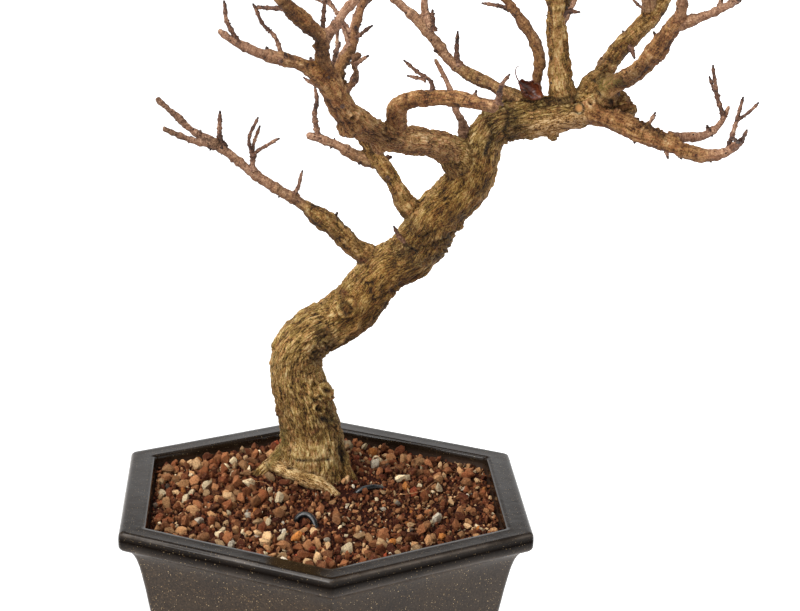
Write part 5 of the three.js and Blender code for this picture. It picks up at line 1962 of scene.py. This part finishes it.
@dataclass
class Tree:
    """The wood: trunk and roots, three groups of limbs, and the twigs."""

    step: float = 1.0
    most_triangles: int = 190000
    trunk_voxel: float = 0.52
    trunk_sides: int = 40
    root_sides: int = 20
    limb_sides: int = 18
    grain_gap: float = 137.0
    aged_girth: float = 7.0
    spur_pitch: float = 24.0
    twig_seed: int = 12
    spur_seed: int = 77
    groups: tuple[WoodGroup, ...] = (
        WoodGroup(
            "near_limbs",
            (
                "front", "frontUp", "frontUpRight", "frontSide", "nearRight", "nearRightFork", "lowRight",
                "lowRightFork",
            ),
            0.56,
            BarkFinish(
                name="brown_bark",
                old=(
                    (0.14, "#24140a"), (0.28, "#5e3f25"), (0.4, "#916a43"), (0.53, "#b99162"),
                    (0.68, "#d6b082"), (0.86, "#f6deb8"),
                ),
                lichen="#ad9a72",
                limb="#bf9670",
            ),
            ((8, -42, 274.5, 6), (22, -31, 263, 4.4)),
        ),
        WoodGroup(
            "crown_limbs",
            (
                "left", "leftFork", "behind", "behindFork", "behindStrand", "greenTip", "leftUp",
                "leftUpFork", "thinUp", "upright", "uprightFork", "sharpRight", "sharpRightFork",
            ),
            0.54,
        ),
        WoodGroup("rear_limbs", ("backLeft", "backLeftFork", "backUp", "backUpFork", "backRight"), 0.6),
    )

    def __post_init__(self) -> None:
        """Walks every line once."""
        self.trunk = LimbLine.of(TRUNK, self.step)
        self.roots = [LimbLine.of(route, self.step) for route in ROOTS]
        self.lines = {name: LimbLine.of(route, self.step) for name, route in LIMBS.items()}

    def outside(self, line: LimbLine, host: LimbLine) -> Array:
        """Gives how far a line's points lie outside another limb."""
        apart = np.linalg.norm(line.point[:, None] - host.point[None], axis=2)
        return (apart - host.radius[None]).min(axis=1)

    def host_of(self, name: str) -> LimbLine:
        """Finds the limb or trunk that a limb starts in.

        Args:
            name: the limb's name.

        Returns:
            Its host's line.
        """
        start = self.lines[name].slice(0, 1)
        hosts = [self.trunk, *(line for other, line in self.lines.items() if other != name)]
        return min(hosts, key=lambda host: float(self.outside(start, host)[0] / host.radius.max()))

    def swelling(self, line: LimbLine, number: int) -> Array:
        """Gives the uneven girth of a limb: long lumps where it is old, nodes where it is young.

        Args:
            line: the limb.
            number: its number, which sets where its lumps lie.

        Returns:
            A factor for each step.
        """
        arc = line.arc
        lumps = 0.06 * np.sin(arc / 3.1 + number) + 0.05 * np.sin(arc / 5.3 + 2.1 * number)
        node = np.abs((arc + 4 * number) % 11.0 - 5.5)
        nodes = 0.3 * bell(node, 0, 1.0)
        young = 1 - smooth_step(line.radius, 2.4, 3.6)
        return 1 + lumps * (1 - 0.5 * young) + nodes * young

    def reach(self, line: LimbLine, number: int, sides: int, factor: Array) -> Array:
        """Gives a limb's skin distances, a little out of round."""
        flat = 1 + 0.05 * np.cos(2 * spokes(sides)[None] + line.arc[:, None] / 9 + number)
        return (line.radius * self.swelling(line, number) * factor)[:, None] * flat

    def trunk_reach(self, line: LimbLine, sides: int) -> Array:
        """Gives the trunk's ribs and hollows, the same as the part's.

        Args:
            line: the trunk.
            sides: how many points each ring has.

        Returns:
            The skin's distances, as rings by sides.
        """
        angle = spokes(sides)[None]
        z = line.point[:, 2][:, None]
        swell = 1 + 0.045 * np.sin(3 * angle + z / 21) + 0.03 * np.sin(5 * angle - z / 13 + 1)
        return line.radius[:, None] * (swell + 0.02 * np.sin(2 * angle + z / 5.5))

    def fuse(self, shape: Shape, name: str, voxel: float) -> Piece:
        """Fuses overlapping skins into one and rounds their joins.

        Args:
            shape: the skins.
            name: the piece's name.
            voxel: the size of the new faces, in mm.

        Returns:
            The piece.
        """
        piece = shape.build(name)
        fused = piece.modifiers.new("fuse", "REMESH")
        fused.mode = "VOXEL"
        fused.voxel_size = voxel * MM
        fused.use_smooth_shade = True
        soft = piece.modifiers.new("round", "SMOOTH")
        soft.factor = 0.5
        soft.iterations = 3
        settle(piece)
        return piece

    def read_grain(self, piece: Piece, lines: Sequence[LimbLine], aged: int = 0) -> None:
        """Keeps, for each point, its place along and across the nearest limb, and the marks on it.

        Args:
            piece: a fused piece.
            lines: the middle lines that it follows.
            aged: how many of the first lines have old bark, whatever their girth.
        """
        mesh = piece.data
        spots = places_of(mesh)
        middle = np.vstack([line.point for line in lines])
        radius = np.concatenate([line.radius for line in lines])
        near = np.zeros(len(spots), int)
        for start in range(0, len(spots), 4096):
            block = spots[start : start + 4096]
            square = (block**2).sum(1)[:, None] + (middle**2).sum(1)[None] - 2 * block @ middle.T
            near[start : start + 4096] = np.argmin(np.sqrt(np.maximum(square, 0)) - radius[None], axis=1)
        away = spots - middle[near]
        across, side, along = (
            (away * np.vstack([getattr(line, key) for line in lines])[near]).sum(1)
            for key in ("across", "side", "along")
        )
        offset = np.concatenate([line.arc + self.grain_gap * k for k, line in enumerate(lines)])
        grain = np.stack([across, side, offset[near] + along], 1)
        ages = np.repeat([k < aged for k in range(len(lines))], [len(line.arc) for line in lines])
        girth = np.where(ages, np.maximum(radius, self.aged_girth), radius)[near]
        store(mesh, "grain", grain)
        store(mesh, "girth", girth)
        store(mesh, "young", 1 - smooth_step(girth, 1.8, 4.0))
        # Painted shade: the 'under' value darkens the bark on the undersides of the wood, where shade
        # falls.
        store(mesh, "under", smooth_step(-away[:, 2] / np.linalg.norm(away, axis=1), -0.35, 0.85))
        lift = np.zeros(len(spots))
        tints = {key: np.zeros(len(spots)) for key in TINTS}
        for mark in MARKS:
            mark.press(spots, lift, tints)
        store(mesh, "mark", lift * np.clip(girth / 5, 0.2, 1))
        for key, tint in tints.items():
            store(mesh, key, tint)

    def thin_out(self, piece: Piece) -> None:
        """Joins the flattest of a piece's faces until it keeps to its share of triangles.

        Args:
            piece: the piece.
        """
        triangles = triangles_of(piece.data)
        if triangles > self.most_triangles:
            thinned = piece.modifiers.new("thin out", "DECIMATE")
            thinned.ratio = self.most_triangles / triangles
            settle(piece)

    def make_trunk(self) -> Piece:
        """Makes the trunk with its roots, knots and the collars that limbs leave from.

        Returns:
            The piece.
        """
        shape = Shape()
        shape.add(*sweep(self.trunk, self.trunk_reach(self.trunk, self.trunk_sides)))
        for number, line in enumerate(self.roots):
            even = np.ones(len(line.arc))
            shape.add(*sweep(line, self.reach(line, number + 3, self.root_sides, even)))
        lines = [self.trunk, *self.roots]
        aged = len(lines)
        for x, y, z, radius in KNOTS:
            shape.add(*self.knot(np.array((x, y, z), float), radius))
        for number, name in enumerate(LIMBS):
            if self.host_of(name) is not self.trunk:
                continue
            line = self.lines[name]
            out = self.outside(line, self.trunk) / line.radius
            end = int(np.argmax(out > 2.1))
            stub = line.slice(0, end)
            factor = 1.34 - 0.46 * smooth_step(out[:end], 0, 2.0)
            shape.add(*sweep(stub, self.reach(stub, number, self.root_sides, factor)))
            lines.append(stub.slice(int(np.argmax(out[:end] > -0.6))))
        piece = self.fuse(shape, "old_trunk", self.trunk_voxel)
        self.read_grain(piece, lines, aged)
        return piece

    def knot(self, middle: Array, radius: float) -> Skin:
        """Makes a lumpy ball of wood.

        Args:
            middle: where it is.
            radius: its size.

        Returns:
            Points and faces.
        """
        made = bmesh.new()
        bmesh.ops.create_icosphere(made, subdivisions=3, radius=1.0)
        points = np.array([vertex.co for vertex in made.verts])
        faces = [tuple(vertex.index for vertex in face.verts) for face in made.faces]
        made.free()
        lumps = 0.1 * np.sin(points @ (4.1, 2.2, 3.3) + radius) + 0.08 * np.sin(points @ (-3.4, 5.2, 1.7))
        return middle + points * (radius * (1 + lumps))[:, None], faces

    def make_group(self, group: WoodGroup) -> Piece:
        """Makes one group of limbs.

        Args:
            group: which limbs they are.

        Returns:
            The piece.
        """
        shape = Shape()
        lines = []
        for number, name in enumerate(LIMBS):
            if name not in group.limbs:
                continue
            line = self.lines[name]
            host = self.host_of(name)
            out = self.outside(line, host)
            if host is self.trunk:
                line = line.slice(max(0, int(np.argmax(out > -1.6)) - 1))
                factor = np.ones(len(line.arc))
            else:
                factor = 1 + 0.3 * bell(np.maximum(out, 0) / line.radius, 0, 1.1)
            shape.add(*sweep(line, self.reach(line, number, self.limb_sides, factor)))
            lines.append(line)
        for x, y, z, radius in group.knots:
            shape.add(*self.knot(np.array((x, y, z), float), radius))
        piece = self.fuse(shape, group.name, group.voxel)
        self.read_grain(piece, lines)
        return piece

    def shoots(self) -> list[Array]:
        """Grows the shoots by the part's own rule.

        Returns:
            Their routes.
        """
        draw = Draw(SHOOT_SEED)
        routes: list[Array] = []
        for name, count, first, last in SHOOT_HOSTS:
            line = LimbLine.of(LIMBS[name], 3)
            for k in range(count):
                share = first + (last - first) * (k + 0.6 * draw()) / count
                at = math.floor(share * (len(line.point) - 1) + 0.5)
                turn = k * GOLDEN_ANGLE + 2 * draw()
                routes += self.shoot(line.slice(at, at + 1), turn, draw)
        return routes

    def shoot(self, at: LimbLine, turn: float, draw: Draw) -> list[Array]:
        """Gives one shoot and its side twig.

        Args:
            at: the place on the limb.
            turn: the angle that it leaves at.
            draw: the seeded draw.

        Returns:
            One or two routes of points with radii.
        """
        point, across, side, along = at.point[0], at.across[0], at.side[0], at.along[0]
        heading = 0.85 * math.cos(turn) * across + 0.85 * math.sin(turn) * side + 0.5 * along
        heading[2] += SHOOT_RISE
        heading = unit(heading)
        length = draw.between(SHOOT_LENGTH)
        bend = np.array([draw() - 0.5, draw() - 0.5, 0.5 + 0.5 * draw()])
        thick = min(SHOOT_RADIUS[0], 0.85 * float(at.radius[0]))
        radii = (thick, thick, 0.9, SHOOT_RADIUS[1])
        points = [point + s * length * heading + SHOOT_BEND * s * s * length * bend for s in SHOOT_SHARES]
        routes = [np.array([(*p, r) for p, r in zip(points, radii)])]
        if draw() > SIDE_TWIG_SHARE:
            return routes
        share = draw()
        fork = points[1] * (1 - share) + points[2] * share
        aside = unit(np.cross(heading, bend)) * (-1 if draw() < 0.5 else 1) + 0.9 * heading
        aside[2] += SIDE_TWIG_RISE
        aside = unit(aside)
        reach = draw.between(SIDE_TWIG_LENGTH) * length
        middle = fork + 0.5 * reach * aside - (0, 0, SIDE_TWIG_SAG)
        routes.append(np.array([(*p, SHOOT_RADIUS[1]) for p in (fork, middle, fork + reach * aside)]))
        return routes

    def spurs(self) -> list[Array]:
        """Gives short dead spurs on the older limbs, by a seeded rule.

        Returns:
            Their routes.
        """
        rng = np.random.default_rng(self.spur_seed)
        routes = []
        for line in self.lines.values():
            length = line.arc[-1]
            for _ in range(int(length / self.spur_pitch)):
                k = int(rng.uniform(0.12, 0.96) * (len(line.point) - 1))
                out = line.out(k, rng.uniform(0, 2 * math.pi))
                heading = unit(out + rng.uniform(0.0, 0.9) * line.along[k])
                reach = line.radius[k] + rng.uniform(0.2, 1.5)
                thick = min(0.85, 0.5 * line.radius[k]) + rng.uniform(0.05, 0.35)
                end = line.point[k] + heading * reach
                middle = line.point[k] + heading * 0.7 * reach + rng.normal(0, 0.25, 3)
                routes.append(np.array([(*line.point[k], thick), (*middle, thick), (*end, 1.05 * thick)]))
        return routes

    def make_twigs(self) -> Piece:
        """Makes the twigs and their buds.

        Returns:
            The piece, still as bare lines and points.
        """
        rng = np.random.default_rng(self.twig_seed)
        shape = Shape()
        routes = [np.array(route, float) for route in TWIGS]
        for route in routes + self.shoots() + self.spurs():
            self.add_twig(shape, route, rng)
        for line in self.lines.values():
            self.add_buds(shape, line, rng)
        return shape.build("twigs_and_buds")

    def add_twig(self, shape: Shape, route: Array, rng: Draws) -> None:
        """Adds one twig's line with its nodes, and the buds on it.

        Args:
            shape: where it goes.
            route: its points with radii.
            rng: the draw for small differences.
        """
        line = LimbLine.of([tuple(row) for row in route], 0.7)
        node = np.abs((line.arc + rng.uniform(0, 4)) % 4.2 - 2.1)
        rough = 0.09 * np.sin(line.arc * 3.1 + node) + 0.07 * np.sin(line.arc * 5.3)
        girth = line.radius * (1.02 + 0.42 * bell(node, 0, 0.55) + rough)
        girth = girth * (1 + 0.7 * bell(line.arc, 0, 1.6)) * (1 - 0.5 * bell(line.arc, line.arc[-1], 0.5))
        wander = rng.normal(0, 0.1, 3)[None] * np.sin(line.arc / 2.3)[:, None]
        count = len(line.point)
        edges = [(k, k + 1) for k in range(count - 1)]
        values = {"girth": girth * MM, "bud_size": np.zeros(count), "heading": np.zeros((count, 3))}
        shape.add(line.point + wander, edges=edges, **values)
        self.add_buds(shape, line, rng, 5.2)
        tip = line.point[-1] + line.along[-1] * 0.2
        size = np.array([0.85 * line.radius[-1] * MM])
        shape.add(tip[None], girth=np.zeros(1), bud_size=size, heading=line.along[-1:])

    def add_buds(self, shape: Shape, line: LimbLine, rng: Draws, pitch: float = 9.0) -> None:
        """Adds pairs of opposite buds along the thin part of a line.

        Args:
            shape: where they go.
            line: the line that they sit on.
            rng: the draw for small differences.
            pitch: the distance from pair to pair.
        """
        turn = rng.uniform(0, math.pi)
        for place in np.arange(rng.uniform(0.4, 0.9) * pitch, line.arc[-1] - 0.5, pitch):
            k = int(np.searchsorted(line.arc, place))
            turn += math.pi / 2
            if line.radius[k] > 3.3:
                continue
            for way in (0, math.pi):
                if rng.random() < 0.3:
                    continue
                out = line.out(k, turn + way)
                heading = 0.8 * out + 0.6 * line.along[k]
                size = rng.uniform(0.34, 0.62) * min(1.0, 0.55 + 0.25 * line.radius[k])
                spot = line.point[k] + out * (line.radius[k] * 0.95)
                values = {"bud_size": np.array([size * MM]), "heading": heading[None]}
                shape.add(spot[None], girth=np.zeros(1), **values)

    def build(self) -> None:
        """Makes all the wood."""
        relief = bark_recipe()
        finishes = (BarkFinish(), *(group.bark for group in self.groups))
        barks = {finish: finish.build() for finish in finishes}
        trunk = self.make_trunk()
        limbs = [(self.make_group(group), group.bark) for group in self.groups]
        for piece, finish in [(trunk, BarkFinish()), *limbs]:
            relief.run(piece, Material=barks[finish])
            self.thin_out(piece)
            piece.data.shade_smooth()
            seat(piece, Slot.TREE)
        twigs = self.make_twigs()
        twig_recipe().run(twigs, Material=TwigFinish().build())
        seat(twigs, Slot.TREE)
        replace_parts(trunk, "tree")


@dataclass
class DryLeaf:
    """The dead leaf where the branches part, rolled along its length."""

    middle: Place = (96, 7.5, 282.6)
    along: Place = (0.8, -0.1, -0.6)
    across: Place = (0.55, 0.45, 0.7)
    length: float = 13.4
    half_width: float = 8.2
    thickness: float = 0.3
    roll: float = 1.9
    arch: float = 2.2
    wave: float = 0.6
    rows: int = 64
    columns: int = 36
    stalk: Route = (
        (-6.2, 0, 0.4, 0.42), (-9.0, 0.8, 1.6, 0.34), (-11.2, 2.4, 2.4, 0.3), (-11.8, 4.4, 2.6, 0.24),
        (-11, 6, 2.4, 0.18),
    )

    def axes(self) -> Array:
        """Gives the leaf's own directions.

        Returns:
            Its three directions as rows.
        """
        along = unit(np.array(self.along))
        normal = unit(np.cross(along, unit(np.array(self.across))))
        return np.stack([along, np.cross(normal, along), normal])

    def blade(self, lift: float) -> tuple[Array, Array, Array]:
        """Makes one face of the blade.

        Args:
            lift: how far out it lies from the blade's middle surface.

        Returns:
            Its points, row by row, how near each is to a rib and how far towards the tip.
        """
        t = np.linspace(0, 1, self.rows + 1)[:, None]
        c = np.linspace(-1, 1, self.columns + 1)[None, :]
        margin = np.abs(c) ** 3
        ripple = 0.12 * np.sin(11 * t + 4 * c) + 0.05 * np.sin(27 * t - 9 * c)
        lobes = 1 + 0.1 * np.sin(19 * t + 2 * np.sign(c)) + 0.04 * np.sin(47 * t)
        half = self.half_width * np.sin(np.pi * (0.03 + 0.94 * t)) ** 0.7 * lobes
        wave = self.wave * np.sin(7 * t) + 0.4 * np.sin(17 * t + 2 * c)
        curl = 1.5 * margin * np.sin(7 * t + 1.9 * np.sign(c) + 0.6)
        turn = self.roll * c * (1 + 0.3 * t * margin)
        veins = 0.7 * bell(np.abs((9 * t - 3.2 * np.abs(c)) % 1 - 0.5), 0, 0.09)
        rib = np.maximum(bell(c + 0 * t, 0, 0.05), veins)
        radius = half / self.roll + lift + ripple - 0.2 * rib + 0.5 * curl
        y = radius * np.sin(turn) + 0.3 * wave
        z = half / self.roll - radius * np.cos(turn) - self.arch * np.sin(np.pi * t) + wave * c * c
        x = self.length * (t - 0.5) + 0.9 * np.sin(6 * t) * c * c + 1.2 * margin * np.sin(9 * t) * t
        return np.stack([x, y, z], 2).reshape(-1, 3), rib.reshape(-1), (t + 0.25 * c).reshape(-1)

    def build(self) -> None:
        """Makes the blade and its stalk."""
        outer, rib, run = self.blade(self.thickness / 2)
        inner, _, _ = self.blade(-self.thickness / 2)
        warm = smooth_step(run, 0.25, 0.75)
        width, count = self.columns + 1, len(outer)
        faces: Faces = []
        for r in range(self.rows):
            for k in range(self.columns):
                a = r * width + k
                faces.append((a, a + 1, a + width + 1, a + width))
                faces.append((count + a, count + a + width, count + a + width + 1, count + a + 1))
            left, right = r * width, r * width + self.columns
            for a, b in ((left + width, left), (right, right + width)):
                faces.append((a, b, count + b, count + a))
        for k in range(self.columns):
            low, high = k, self.rows * width + k
            faces.append((low + 1, low, count + low, count + low + 1))
            faces.append((high, high + 1, count + high + 1, count + high))
        axes = self.axes()
        shape = Shape()
        shape.add(
            np.vstack([outer, inner]) @ axes + self.middle,
            faces,
            rib=np.concatenate([rib, 0.6 * rib]),
            warm=np.concatenate([0.4 * warm, np.maximum(warm, 0.25)]),
        )
        route = [(*(np.array(row[:3]) @ axes + self.middle), row[3]) for row in self.stalk]
        points, rounds = LimbLine.of(route, 0.3).rod(10)
        shape.add(points, rounds, rib=np.full(len(points), 0.2), warm=np.zeros(len(points)))
        piece = shape.build("curled_leaf")
        made = bmesh.new()
        made.from_mesh(piece.data)
        bmesh.ops.recalc_face_normals(made, faces=made.faces)
        made.to_mesh(piece.data)
        made.free()
        piece.data.shade_smooth()
        seat(piece, Slot.LEAF, DryLeafFinish().build())
        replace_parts(piece, "dry_leaf")


@dataclass
class Straws:
    """Dry root fibres that lie on the grit."""

    routes: tuple[Route, ...] = (
        ((51, 6, 77.6, 0.16), (54, 8, 79.2, 0.16), (57, 13, 79.4, 0.16), (58, 17, 77.6, 0.14)),
        ((36, -2, 77.8, 0.14), (42, -4, 78.9, 0.14), (50, 1, 78.8, 0.14), (53, 8, 77.8, 0.12)),
        ((-42, 20, 77.4, 0.14), (-37, 14, 78.8, 0.14), (-30, 13, 78.4, 0.14), (-26, 8, 77.2, 0.12)),
    )

    def build(self) -> None:
        """Makes the fibres."""
        shape = Shape()
        for route in self.routes:
            shape.add(*LimbLine.of(route, 0.8).rod(6))
        piece = shape.build("straws")
        piece.data.shade_smooth()
        seat(piece, Slot.SOIL, STRAW.build())


@dataclass(frozen=True)
class Lamp:
    """A square soft light that faces the tree."""

    name: str
    place: Place
    size: float
    power: float

    def build(self, target: Vector) -> None:
        """Makes the light.

        Args:
            target: what it faces, in metres.
        """
        light = bpy.data.lights.new(self.name, "AREA")
        light.shape = "SQUARE"
        light.size = self.size
        light.energy = self.power
        lamp = bpy.data.objects.new(self.name, light)
        lamp.location = target + Vector(self.place)
        lamp.rotation_mode = "QUATERNION"
        lamp.rotation_quaternion = (target - lamp.location).to_track_quat("-Z", "Y")
        bpy.context.scene.collection.objects.link(lamp)


@dataclass
class Studio:
    """The floor, the lights and the camera."""

    lens: float = 100.65
    azimuth: float = -3.851
    elevation: float = 15.978
    roll: float = 1.524
    distance: float = 1099.5
    target: Place = (35.706, 0.0, 97.13)
    bright: float = 1.0
    dark: float = 0.14
    fade: tuple[float, float] = (0.335, 0.4)
    right_share: float = 1.04
    floor_reach: float = 14.0
    lamps: tuple[Lamp, ...] = (
        Lamp("key", (-1.25, -1.25, 1.1), 1.3, 44.0),
        Lamp("top", (-0.5, 0.1, 2.2), 2.4, 52.0),
    )

    def floor(self) -> None:
        """Makes the floor."""
        mesh = bpy.data.meshes.new("floor")
        r = self.floor_reach
        mesh.from_pydata([(-r, -r, 0), (r, -r, 0), (r, r, 0), (-r, r, 0)], [], [(0, 1, 2, 3)])
        mesh.materials.append(BackdropFinish().build())
        stand("floor", mesh)

    def camera(self) -> None:
        """Makes the camera that took the photo."""
        azimuth, elevation, roll = (math.radians(a) for a in (self.azimuth, self.elevation, self.roll))
        level = math.cos(elevation)
        back = Vector((math.sin(azimuth) * level, -math.cos(azimuth) * level, math.sin(elevation)))
        right = Vector((0, 0, 1)).cross(back).normalized()
        up = back.cross(right)
        c, s = math.cos(roll), math.sin(roll)
        right, up = c * right + s * up, c * up - s * right
        lip = Vector(((POT_LOW.x + POT_HIGH.x) / 2, (POT_LOW.y + POT_HIGH.y) / 2, POT_HIGH.z))
        place = lip + Vector(self.target) * MM + back * self.distance * MM
        lens = bpy.data.cameras.new("camera")
        lens.lens = self.lens
        lens.sensor_width = 36.0
        lens.sensor_fit = "HORIZONTAL"
        lens.clip_start, lens.clip_end = 0.05, 60.0
        camera = bpy.data.objects.new("camera", lens)
        camera.matrix_world = Matrix.Translation(place) @ Matrix((right, up, back)).transposed().to_4x4()
        bpy.context.scene.collection.objects.link(camera)
        bpy.context.scene.camera = camera

    def build(self) -> None:
        """Makes the whole studio."""
        self.floor()
        self.camera()
        self.surround()
        aim = Vector((0, 0, 0.18))
        for lamp in self.lamps:
            lamp.build(aim)
        bpy.context.scene.view_settings.view_transform = "Standard"

    def surround(self) -> None:
        """Makes the room: white walls round about, dark overhead and a little lighter on the right."""
        world = bpy.data.worlds.new("studio")
        world.use_nodes = True
        sheet = Sheet(world.node_tree)
        backing = world.node_tree.nodes["Background"]
        backing.inputs["Color"].default_value = (1, 1, 1, 1)
        way = sheet.add("ShaderNodeTexCoord").outputs["Generated"]
        parts = sheet.add("ShaderNodeSeparateXYZ", {0: way}).outputs
        walls = sheet.remap(parts["Z"], *self.fade, self.bright, self.dark)
        share = sheet.remap(parts["X"], 0.15, 0.95, 1, self.right_share)
        sheet.feed(backing.inputs["Strength"], sheet.times(walls, share))
        bpy.context.scene.world = world


def main() -> None:
    """Builds the bonsai and its studio."""
    logging.basicConfig(level=logging.INFO, format="%(name)s: %(message)s")
    Studio().build()
    Soil().build()
    Pot().build()
    TieWire().build()
    Tree().build()
    DryLeaf().build()
    Straws().build()
    screen = frame["nodes"]["drain_screen"]
    seat(screen, Slot.SCREEN, MOULDED_MESH.build())


if __name__ == "__main__":
    main()
